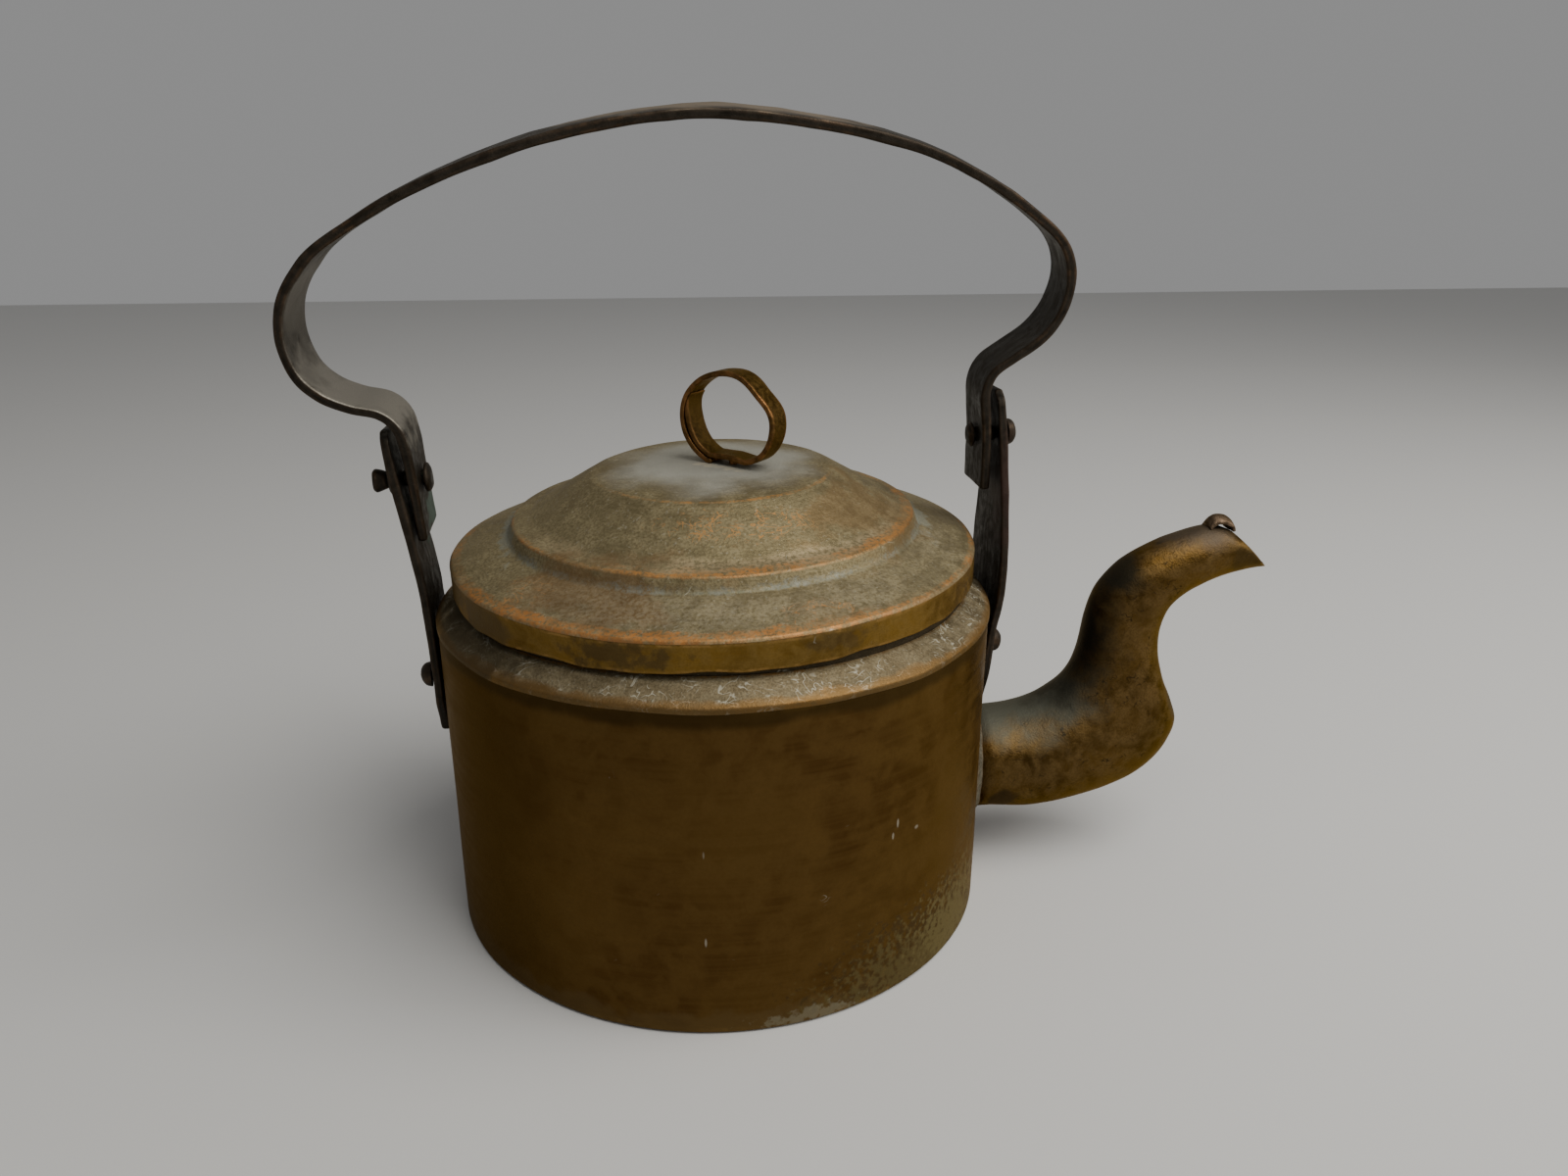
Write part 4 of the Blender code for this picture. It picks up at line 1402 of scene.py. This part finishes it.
@dataclass
class Rivet(Piece):
    """A turned rivet or washer, set at a point along an axis."""

    at: Vector = field(default_factory=Vector)
    axis: Vector = field(default_factory=lambda: UP.copy())
    turn: int = 1

    def build(self, smithy: Smithy) -> bpy.types.Object:
        """Turns one rivet and sets it in its place.

        Args:
            smithy: The trees to work it with.

        Returns:
            The finished object, riding on its body.
        """
        master = self.skin(smithy, "master")
        mesh = bpy.data.meshes.new("look_" + self.name)
        mesh.from_pydata([tuple(self.at)], [], [])
        mesh.attributes.new("axis", "FLOAT_VECTOR", "POINT").data[0].vector = self.axis
        obj = new_object("look_" + self.name, mesh)
        smithy.rivet.work(obj, self.finish.material(), Rivet=master, Seed=self.turn)
        bpy.data.objects.remove(master)
        self.work_metal(smithy, obj)
        return self.place(obj)


@dataclass
class Body:
    """The wall, base, shoulder and neck; sizes in mm."""

    radius: float = 119.9
    sheet: float = 1.4
    wall_top: float = 138.5
    around: int = 400
    warp: float = 0.5
    base_floor: float = 0.6
    base_height: float = 12.0
    neck_radius: float = 109.1
    neck_heights: tuple[float, float] = (140.2, 159.6)
    spout_hole: float = 20.5
    spout_height: float = 49.6
    lip: tuple[float, float] = (114.0, 120.0)
    lip_waves: tuple[tuple[float, float, float], ...] = ((9, 0.8, 0.22), (17, 2.0, 0.14))

    def pieces(self) -> list[Piece]:
        """Returns the turned pieces of the body."""
        return [self.wall(), self.base(), self.shoulder(), self.neck()]

    def wall(self) -> Piece:
        """The wall, with its lower corner rounded and the spout's hole cut."""
        inner = self.radius - self.sheet
        outline = Section.rounded(
            [
                (self.radius, 0.2, 2.2),
                (self.radius, self.wall_top, 0.3),
                (inner, self.wall_top, 0.3),
                (inner, 0.2, 0.3),
            ],
            inner_from=2,
            spacing=2.6,
        )
        inside, outside = (Vector((across, 0, self.spout_height)) * MM for across in (100, 140))
        hole = Hole(inside, outside, self.spout_hole * MM)
        path = Path.turning(self.around)
        return Piece("body_wall", "kettle", WALL, path, outline, self.warp * MM, holes=(hole,))

    def base(self) -> Piece:
        """The pan-shaped base, inside the foot of the wall."""
        rim, under, over = self.radius - self.sheet - 0.2, self.base_floor, self.base_floor + self.sheet
        outline = Section.rounded(
            [
                (0, under, 0),
                (rim, under, 1.4),
                (rim, self.base_height, 0.4),
                (rim - self.sheet, self.base_height, 0.4),
                (rim - self.sheet, over, 1.4),
                (0, over, 0),
            ],
            closed=False,
            inner_from=2,
            spacing=4,
        )
        return Piece("base_plate", "kettle", WALL, Path.turning(200), outline, self.warp * MM)

    def shoulder(self) -> Piece:
        """The sloping shoulder, whose thin lip laps over the wall."""
        outline = Section.rounded(
            [
                (120.0, 136.9, 0.15),
                (120.45, 136.9, 0.2),
                (120.5, 139.0, 0.7),
                (119.2, 140.3, 0.9),
                (114.8, 143.3, 3),
                (109.1, 146.7, 0.5),
                (109.1, 145.2, 0.4),
                (114.6, 141.8, 2),
                (118.3, 139.0, 0.5),
                (120.0, 138.7, 0.2),
            ],
            inner_from=6,
            spacing=1.6,
        )
        path = Path.turning(self.around)
        return Piece("shoulder_plate", "kettle", PATINA, path, outline, self.warp * MM, shaper=self.wave)

    def neck(self) -> Piece:
        """The upright neck that the lid's skirt drops over."""
        (low, high), outer, inner = self.neck_heights, self.neck_radius, self.neck_radius - self.sheet
        outline = Section.rounded(
            [(outer, low, 0.4), (outer, high, 0.7), (inner, high, 0.7), (inner, low, 0.4)], inner_from=2
        )
        return Piece("neck_collar", "kettle", SHADED_NECK, Path.turning(300), outline, self.warp * MM)

    def wave(self, places: np.ndarray) -> np.ndarray:
        """Makes the shoulder's outer edge a little uneven."""
        angle = np.arctan2(places[:, 1], places[:, 0])
        share = steps_between(np.hypot(places[:, 0], places[:, 1]) / MM, *self.lip)
        places[:, 2] += ripple(angle, self.lip_waves) * share * MM
        return places


@dataclass
class Lid:
    """The stepped lid with its skirt, ring and rivet, a little crooked; sizes in mm."""

    radius: float = 112.9
    fold: float = 164.3
    skirt_bottom: float = 152.0
    top: float = 199.2
    tilt: Euler = field(default_factory=lambda: Euler((math.radians(1.65), math.radians(-1.0), 0)))
    sheet: float = 1.4
    warp: float = 0.55
    rim: tuple[float, float] = (152.0, 160.0)
    rim_waves: tuple[tuple[float, float, float], ...] = ((11, 1, 0.35), (23, 2.5, 0.25), (37, 0, 0.15))
    ring_place: tuple[float, float] = (8.0, -6.0)
    ring_half_width: float = 23.6
    ring_height: float = 38.0
    ring_lap: float = 1.75  # how far the strap goes on past a whole turn, in radians
    ring_foot: float = math.radians(25)  # half the turn over which the ring stands flat
    ring_press: tuple[float, float, float] = (132.0, 23.0, 0.10)  # its middle, breadth and depth
    strap: tuple[float, float] = (2.3, 11.0)

    def pieces(self) -> list[Piece]:
        """Returns the lid's pieces."""
        return [self.crown(), self.skirt(), self.ring(), self.rivet()]

    def lean(self, places: np.ndarray) -> np.ndarray:
        """Tilts points of the lid about its middle."""
        turn = np.array(self.tilt.to_matrix())
        middle = np.array([0, 0, self.fold * MM])
        return (places - middle) @ turn.T + middle

    def crown(self) -> Piece:
        """The pressed top sheet, closed at its middle."""
        upper = [
            (self.radius, self.fold - 0.9, 0.5),
            (self.radius - 0.8, self.fold + 0.4, 0.8),
            (101, 168.4, 9),
            (88.4, 172.8, 1.4),
            (86.0, 178.4, 1.0),
            (77.8, 180.3, 1.6),
            (65, 188.2, 6),
            (51.5, 196.2, 1.8),
            (30, 198.2, 8),
            (0, self.top, 0),
        ]
        lower = [(across, height - self.sheet, fillet) for across, height, fillet in upper[1:]]
        outline = Section.rounded(upper[::-1] + lower, closed=False, inner_from=len(upper), spacing=1.3)
        path, warp = Path.turning(360), self.warp * MM
        return Piece("lid_crown", "lid", LID, path, outline, warp, 0.05, 0.15 * MM, shaper=self.lean)

    def skirt(self) -> Piece:
        """The upright band under the lid's edge, with a bumpy lower rim."""
        low, top = self.skirt_bottom, self.fold - self.sheet / 2
        outer, inner = self.radius - 0.2, self.radius - self.sheet
        outline = Section.rounded(
            [(outer, low, 0.5), (outer, top, 0.6), (inner, top, 0.4), (inner, low, 0.5)],
            inner_from=2,
            spacing=1.2,
        )
        path, shaper = Path.turning(420), self.ragged_skirt
        return Piece(
            "lid_skirt", "lid", RUBBED, path, outline, self.warp * MM, 0.05, 0.25 * MM, 0.014, shaper=shaper
        )

    def ragged_skirt(self, places: np.ndarray) -> np.ndarray:
        """Makes the skirt's lower rim uneven and tilts it with the lid."""
        angle = np.arctan2(places[:, 1], places[:, 0])
        share = 1 - steps_between(places[:, 2] / MM, *self.rim)
        places[:, 2] += ripple(angle, self.rim_waves) * share * MM
        return self.lean(places)

    def ring_line(self) -> np.ndarray:
        """The ring's middle line, from its end under the foot round to the one inside the left limb."""
        thickness, start, again = self.strap[0], math.radians(338), math.tau + self.ring_lap
        turns = np.linspace(0, again, 360)
        angle = start - turns
        middle, breadth, depth = self.ring_press
        reach = 1 - depth * np.exp(-(((np.degrees(angle) % 360 - middle) / breadth) ** 2))
        lap = thickness + 0.25 + 0.7 * np.exp(-(((turns - math.tau - 0.9) / 0.4) ** 2))
        lap -= 0.44 * thickness * steps_between(turns, again - 0.65, again)
        inset = thickness / 2 + lap * steps_between(turns, math.tau - 1.3, math.tau - 0.35)
        across = (self.ring_half_width - inset) * reach * np.sin(angle)
        half = self.ring_height / 2
        height = half - (half - inset) * reach * np.cos(angle) / math.cos(self.ring_foot)
        height = np.maximum(height, inset) - 0.6
        return evenly(np.column_stack([across, np.zeros_like(across), height]) * MM, 0.9 * MM)

    def ring(self) -> Piece:
        """The finger ring: a strap bent round with its ends lapped."""
        thickness, width = self.strap
        line = self.ring_line()
        path = Path.strap(line, same_way(SIDEWAYS, len(line)), width / 2 * MM, tip=0.8 * MM)
        run = run_of(path.points)
        path.across *= (1 - 0.88 * steps_between(run, run[-1] - 12 * MM, run[-1]))[:, None]
        turn = Matrix.Rotation(RING_TURN, 4, "Z")
        place = Matrix.Translation(Vector((*self.ring_place, self.top + 0.1)) * MM)
        path = path.placed(place @ turn)
        section = Section.strap(thickness, width / 2, 0.8)
        return Piece("lid_ring", "lid", RING, path, section, 0.25 * MM, 0.03, 0.2 * MM, 0.008)

    def rivet(self) -> Rivet:
        """The rivet through the ring's foot."""
        base = self.top + self.strap[0] + 0.3
        under = self.top - 2.4
        outline = Section.rounded(
            [
                (0, under - 1.6, 0),
                (3.3, under - 1.3, 0.8),
                (3.6, under, 0.3),
                (1.8, under, 0.2),
                (1.8, base, 0.2),
                (3.8, base, 0.3),
                (2.9, base + 1.3, 1.2),
                (0, base + 1.8, 0),
            ],
            closed=False,
            spacing=0.6,
        )
        path, place = Path.turning(40), Vector((*self.ring_place, 0)) * MM
        return Rivet(
            "lid_ring_rivet", "lid", RING, path, outline, dents=0.15 * MM, dent_size=0.004, at=place
        )


@dataclass
class Spout:
    """The goose-necked spout with its collar and the tab over its mouth; sizes in mm."""

    root: tuple[float, float] = (49.6, 24.4)
    sheet: float = 1.5
    stations: tuple[tuple[float, float, float, float, float], ...] = (
        (128, 74.0, 128.8, 25.2, 24.4), (142, 75.4, 148, 24.0, 25.0), (153, 78.4, 168, 26.4, 25.2),
        (160.5, 83, 186, 30.4, 24.8), (165, 87.6, 202, 37, 24.0), (168, 92.5, 213.5, 45.5, 22.8),
        (170, 97.5, 220.3, 56, 21.4), (171.2, 102.5, 222.4, 65, 20.0), (172, 108, 219.5, 75, 18.4),
        (172.8, 114, 214.5, 86, 17.0), (173.8, 120.5, 210.8, 97, 16.2), (175.6, 127.5, 209.3, 107.5, 15.8),
        (179, 135, 210, 116, 15.4), (185, 142.4, 213, 123.6, 15.0), (193, 148.8, 219, 129.5, 14.4),
        (202.5, 153.8, 227, 134, 13.8), (213, 157.8, 236.5, 137.4, 13.2), (223, 160.8, 245.5, 139.6, 12.6),
        (231.5, 161.8, 251.5, 140.8, 12.2), (239.3, 159.2, 256.3, 141.2, 12.0),
    )
    seat: float = 119.9
    collar_width: float = 4.4
    beak: tuple[float, float, float] = (2.6, 0.4, 6.5)  # how far out, how far up, how broad
    beak_span: tuple[float, float] = (240.0, 256.0)
    tab_line: tuple[tuple[float, float], ...] = (
        (228.6, 161.8), (229.0, 164.2), (231.6, 166.2), (235.6, 166.0), (238.8, 163.8), (239.6, 160.0),
    )
    tab_strap: tuple[float, float] = (1.5, 9.6)
    tab_droop: tuple[float, float] = (2.6, 4.4)  # on the near side and on the far one
    tab_fold: tuple[float, float] = (159.2, 165.5)

    def pieces(self) -> list[Piece]:
        """Returns the spout's pieces."""
        return [self.tube(), self.collar(), self.tab()]

    def half_skin(self, inset: float) -> list[np.ndarray]:
        """Returns the stations of the outer skin, or of one inset from it.

        Args:
            inset: How far inside the outer skin it lies, in mm.

        Returns:
            The rows of places, across, broad and bow vectors.
        """
        line = smooth_line(np.array(self.stations, float), 9)
        zero = np.zeros(len(line))
        top = np.column_stack([line[:, 0], zero, line[:, 1]])
        bottom = np.column_stack([line[:, 2], zero, line[:, 3]])
        rise = (top - bottom) / 2
        across = rise - unit(rise) * inset
        broad = np.column_stack([zero, line[:, 4] - inset, zero])
        height, radius = self.root[0], self.root[1] - inset
        bow = -(radius**2) / (2 * self.seat)
        first = [(self.seat, 0, height), (0, 0, radius), (0, radius, 0), (bow, 0, 0)]
        rows = ((top + bottom) / 2, across, broad, np.zeros_like(top))
        return [np.vstack([start, row]) * MM for start, row in zip(first, rows)]

    def tube(self) -> Piece:
        """The tube: outwards along its outer skin and back along its bore."""
        outer, bore = self.half_skin(0), self.half_skin(self.sheet)
        rows = [np.vstack([far, near[::-1]]) for far, near in zip(outer, bore)]
        inner = np.concatenate([np.zeros(len(outer[0])), np.ones(len(bore[0]))])
        path, section = Path(*rows, inner=inner, closed=True), Section.circle(128)
        return Piece(
            "spout_tube", "kettle", SPOUT, path, section, 0.5 * MM, 0.05, 0.5 * MM, 0.016, shaper=self.pinch
        )

    def pinch(self, places: np.ndarray) -> np.ndarray:
        """Draws the lower lip out to a beak."""
        out, up, breadth = self.beak
        share = np.exp(-((places[:, 1] / MM / breadth) ** 2))
        share *= steps_between(places[:, 0] / MM, *self.beak_span)
        places[:, 0] += out * share * MM
        places[:, 2] += up * share * MM
        return places

    def collar(self) -> Piece:
        """The soldered collar round the spout's root, dished to the wall."""
        count, radius = 220, self.root[1] - 0.2
        angle = np.linspace(0, math.tau, count, endpoint=False)
        side, up = np.sin(angle), np.cos(angle)
        depth = np.sqrt(self.seat**2 - (radius * side) ** 2)
        points = np.column_stack([depth, radius * side, self.root[0] + radius * up]) * MM
        across = np.column_stack([-radius * side**2 / depth, side, up])
        width = self.collar_width
        outline = Section.rounded(
            [(0, -0.3, 0.1), (width, -0.4, 0.2), (width - 0.3, 0.7, 0.5), (2.0, 1.5, 1.0), (0.1, 3.4, 0.6)],
            spacing=0.7,
        )
        path = Path(points, across, same_way((1, 0, 0), count), closed=True)
        return Piece("spout_flange", "kettle", SOLDERED, path, outline, 0.35 * MM, 0.012, 0.3 * MM, 0.006)

    def tab(self) -> Piece:
        """The tongue of sheet folded over the top of the mouth."""
        thickness, width = self.tab_strap
        corners = np.array([(x, 0.0, z) for x, z in self.tab_line]) * MM
        line = evenly(smooth_line(corners), 0.5 * MM)
        path = Path.strap(line, same_way(SIDEWAYS, len(line)), width / 2 * MM, tip=0.5 * MM)
        section = Section.strap(thickness, width / 2, 0.5)
        return Piece(
            "spout_tip_tab", "kettle", TAB, path, section, dents=0.2 * MM, dent_size=0.005, shaper=self.droop
        )

    def droop(self, places: np.ndarray) -> np.ndarray:
        """Bends the tab's long sides down towards the tube, the far one until it touches."""
        depth = np.where(places[:, 1] > 0, self.tab_droop[1], self.tab_droop[0])
        depth = depth * steps_between(places[:, 2] / MM, *self.tab_fold)
        aside = np.minimum(np.abs(places[:, 1]) / (self.tab_strap[1] / 2 * MM), 1)
        places[:, 2] -= depth * MM * aside**2
        return places


@dataclass
class Handle:
    """The bail, its two ears and all the rivets that hold them; sizes in mm."""

    rear_pivot: Vector = field(default_factory=lambda: Vector((-126.5, 0, 195.2)))
    front_pivot: Vector = field(default_factory=lambda: Vector((119.5, 0, 207.8)))
    lean: float = math.radians(7.6)
    twist: float = math.radians(4)
    twisted: tuple[float, float] = (215.0, 245.0)
    width: float = 27.0
    thickness: float = 3.9
    ear_thickness: float = 3.6
    ear_width: float = 36.0
    wall_radius: float = 120.0
    sheet: float = 1.4
    bedding: tuple[float, float] = (110.0, 140.0)
    pivot_hole: float = 3.4
    pivot_reach: float = 11.0
    rivet_spread: float = 12.0
    rivet_heights: tuple[float, float] = (111.5, 115.0)
    bail_line: tuple[tuple[float, float], ...] = (
        (-122.3, 173), (-123.4, 195), (-124.3, 212), (-126.5, 221), (-132.5, 226.8), (-143, 229.5),
        (-153, 234.5), (-160.5, 243), (-163.5, 256), (-161.5, 269), (-155, 280.5), (-141, 293.5),
        (-104, 313.5), (-58, 329.5), (-8, 337.4), (34, 335.2), (77, 326.6), (108, 314), (131, 299.6),
        (142, 289), (146, 276.5), (144, 263.5), (137, 252.8), (126, 244.6), (117.6, 238.2),
        (114.4, 230), (115.2, 220), (116.4, 207.8), (117.6, 186),
    )
    rear_ear: tuple[tuple[float, float, float], ...] = (
        (82, 122.4, 9), (90, 122.4, 19), (100, 122.4, 34), (111, 122.4, 40), (121, 122.4, 38),
        (133, 122.4, 36), (147, 123.0, 34), (160, 124.6, 32), (172, 126.5, 30), (184, 128.6, 28),
        (195.2, 130.4, 27), (206, 131.9, 26), (213, 132.7, 24), (216, 133.0, 18),
    )
    front_ear: tuple[tuple[float, float, float], ...] = (
        (80, 122.6, 9), (89, 122.6, 19), (101, 122.6, 36), (114, 122.6, 44), (124, 122.9, 45),
        (135, 123.9, 46), (148, 124.8, 45), (163, 125.1, 42), (178, 125.0, 37), (193, 124.6, 31),
        (207.8, 123.9, 27), (218, 123.0, 25), (224, 122.4, 23), (227, 122.1, 16),
    )

    @property
    def axis(self) -> Vector:
        """The way from the rear pivot to the front one."""
        return (self.front_pivot - self.rear_pivot).normalized()

    def pieces(self) -> list[Piece]:
        """Returns the bail, the ears and the rivets."""
        rear, front = self.rivet_heights
        ears = [self.ear("ear_rear", -1, self.rear_ear), self.ear("ear_front", 1, self.front_ear)]
        rivets = self.ear_rivets("rear", -1, rear) + self.ear_rivets("front", 1, front)
        return [self.bail(), *ears, *rivets, *self.pivots()]

    def pivot_holes(self) -> tuple[Hole, ...]:
        """The holes for the pivot rivets."""
        reach = self.axis * self.pivot_reach * MM
        places = (self.rear_pivot * MM, self.front_pivot * MM)
        return tuple(Hole(place - reach, place + reach, self.pivot_hole * MM) for place in places)

    def bail(self) -> Piece:
        """The strap handle, which leans at rest about the pivots' axis."""
        corners = np.array([(x, 0.0, z) for x, z in self.bail_line]) * MM
        line = evenly(smooth_line(corners), 1.3 * MM)
        low, high = self.twisted
        twist = self.twist * np.clip((line[:, 2] / MM - low) / (high - low), 0, 1)
        broad = np.column_stack([np.sin(twist), np.cos(twist), np.zeros(len(line))])
        path = Path.strap(line, broad, self.width / 2 * MM, skews=(0.0, 0.12), tip=1.2 * MM)
        middle = (self.rear_pivot + self.front_pivot) / 2 * MM
        turn = Quaternion(self.axis, self.lean).to_matrix().to_4x4()
        path = path.placed(Matrix.Translation(middle) @ turn @ Matrix.Translation(-middle))
        section = Section.strap(self.thickness, self.width / 2, 1.3)
        holes = self.pivot_holes()
        return Piece("bail", "bail", FORGED, path, section, 0.45 * MM, 0.05, 0.45 * MM, 0.014, holes=holes)

    def ear(self, name: str, side: int, stations: Sequence[tuple[float, float, float]]) -> Piece:
        """A forged ear.

        Args:
            name: The piece's name.
            side: 1 at the spout and -1 at the back.
            stations: Height, middle of the plate and full width up the ear, in mm.

        Returns:
            The ear, dished below to the wall's curve.
        """
        rows = np.array([(side * middle, 0.0, height, width / 2) for height, middle, width in stations]) * MM
        rows = evenly(smooth_line(rows), 1.3 * MM)
        line, half = rows[:, :3], rows[:, 3]
        low, high = self.bedding
        bedding = np.clip((high - line[:, 2] / MM) / (high - low), 0, 1)
        dish = -side * bedding * half**2 / (2 * self.wall_radius * MM)
        bow = np.column_stack([dish, np.zeros_like(dish), np.zeros_like(dish)])
        path = Path.strap(line, same_way(SIDEWAYS, len(line)), half, bow=bow, tip=1.4 * MM)
        section = Section.strap(self.ear_thickness, self.ear_width / 2, 1.2)
        marks = {"warp": 0.4 * MM, "warp_size": 0.05, "dents": 0.5 * MM, "dent_size": 0.015, "seed": side}
        return Piece(name, "kettle", FORGED, path, section, holes=self.pivot_holes(), **marks)

    def ear_rivets(self, name: str, side: int, height: float) -> list[Piece]:
        """The two rivets side by side through the foot of an ear."""
        made = []
        grip = self.sheet + self.ear_thickness + 2
        outline = Section.rounded(
            [
                (0, -2.6, 0),
                (3.4, -2.2, 0.8),
                (4.3, -0.9, 0.5),
                (2.4, -0.9, 0.2),
                (2.4, grip - 0.8, 0.2),
                (5.6, grip - 0.8, 0.3),
                (5.0, grip + 1.7, 1.0),
                (3.0, grip + 3.2, 1.4),
                (0, grip + 3.9, 0),
            ],
            closed=False,
            spacing=0.7,
        )
        for number, across in enumerate((-self.rivet_spread, self.rivet_spread), 1):
            out = Vector((side * math.sqrt(self.wall_radius**2 - across**2), across, 0)).normalized()
            at = (out * (self.wall_radius - self.sheet) + UP * height) * MM
            marks = {"dents": 0.5 * MM, "dent_size": 0.005, "at": at, "axis": out, "turn": number}
            label, path = f"{name}_rivet_{number}", Path.turning(48)
            made.append(Rivet(label, "kettle", FORGED, path, outline, **marks))
        return made

    def pivots(self) -> list[Piece]:
        """The two pivot rivets and the washers under their outer heads."""
        rear = [
            (0, -9.0, 0), (3.8, -8.8, 1.2), (6.2, -7.6, 0.6), (6.0, -6.4, 0.5), (3.0, -6.0, 0.2),
            (3.0, 8.9, 0.2), (3.6, 9.5, 0.8), (5.0, 13.8, 0.9), (4.2, 14.8, 0.8), (0, 14.3, 0),
        ]
        front = [
            (0, -8.6, 0), (3.6, -8.2, 1.0), (5.5, -6.9, 0.6), (5.4, -6.0, 0.4), (3.0, -6.0, 0.2),
            (3.0, 9.0, 0.2), (5.8, 9.0, 0.5), (5.4, 11.6, 1.4), (3.2, 13.0, 1.6), (0, 13.4, 0),
        ]
        washer = [(3.3, 6.2, 0.2), (7.6, 6.0, 0.5), (6.4, 7.9, 0.9), (3.3, 8.6, 0.4)]
        disc = Section.rounded(washer, spacing=0.8)
        made: list[Piece] = []
        for name, place, way, outline in (
            ("rear", self.rear_pivot, -self.axis, rear),
            ("front", self.front_pivot, self.axis, front),
        ):
            turned = Section.rounded(outline, closed=False, spacing=0.8)
            marks = {"dents": 0.45 * MM, "dent_size": 0.006, "at": place * MM, "axis": way, "turn": 3}
            for label, section in (("pivot_rivet_", turned), ("pivot_washer_", disc)):
                made.append(Rivet(label + name, "kettle", FORGED, Path.turning(56), section, **marks))
        return made


# --------------------------------------------------------------------- studio


@dataclass
class Lamp:
    """A soft square light that shines at a point."""

    name: str
    place: tuple[float, float, float]
    size: float
    power: float
    colour: Colour = (1.0, 1.0, 1.0)
    target: Vector = field(default_factory=lambda: UP * 0.15)

    def build(self) -> bpy.types.Object:
        """Makes the light."""
        light = bpy.data.lights.new(self.name, "AREA")
        light.size = self.size
        light.energy = self.power
        light.color = self.colour
        obj = new_object(self.name, light)
        obj.location = self.place
        obj.rotation_euler = (self.target - obj.location).to_track_quat("-Z", "Y").to_euler()
        return obj


@dataclass
class Studio:
    """A pale floor, soft light and the camera."""

    floor_colour: Colour = (0.56, 0.555, 0.54)
    floor_gap: float = 0.6 * MM
    world_colour: Colour = (0.76, 0.76, 0.76)
    world_strength: float = 0.36
    lens: float = 25.875
    place: tuple[float, float, float] = (-0.0290, -0.4742, 0.3094)
    turn: tuple[float, float, float] = (1.2293, 0.0, -0.1249)

    def build(self) -> None:
        """Builds the whole studio."""
        self.floor()
        self.world()
        self.camera()
        for lamp in (
            Lamp("key", (0.75, -0.6, 1.45), 1.5, 33.0, (1.0, 0.98, 0.94)),
            Lamp("right_fill", (1.6, -0.2, 0.7), 0.9, 5.0, (1.0, 0.97, 0.92)),
        ):
            lamp.build()

    def floor(self) -> None:
        """Lays the floor just under the kettle."""
        made = bmesh.new()
        bmesh.ops.create_grid(made, x_segments=1, y_segments=1, size=3.0)
        mesh = finished_mesh("floor", made)
        finish = bpy.data.materials.new("floor")
        finish.use_nodes = True
        shader = finish.node_tree.nodes["Principled BSDF"]
        shader.inputs["Base Color"].default_value = (*self.floor_colour, 1)
        shader.inputs["Roughness"].default_value = 0.8
        mesh.materials.append(finish)
        floor = new_object("floor", mesh)
        floor.location = (0, 0, -self.floor_gap)

    def world(self) -> None:
        """Sets a plain sky."""
        world = bpy.data.worlds.new("sky")
        world.use_nodes = True
        shader = world.node_tree.nodes["Background"]
        shader.inputs["Color"].default_value = (*self.world_colour, 1)
        shader.inputs["Strength"].default_value = self.world_strength
        bpy.context.scene.world = world

    def camera(self) -> None:
        """Sets the camera a little above the lid and in front."""
        camera = bpy.data.cameras.new("camera")
        camera.lens = self.lens
        camera.sensor_width = 36.0
        camera.clip_start = 0.01
        obj = new_object("camera", camera)
        obj.location = self.place
        obj.rotation_euler = self.turn
        bpy.context.scene.camera = obj


def main() -> None:
    """Builds every piece of the kettle and the studio."""
    logging.basicConfig(level=logging.INFO, format="%(name)s: %(message)s")
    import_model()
    smithy = Smithy()
    for assembly in (Body(), Lid(), Spout(), Handle()):
        for piece in assembly.pieces():
            piece.build(smithy)
    Studio().build()


if __name__ == "__main__":
    main()
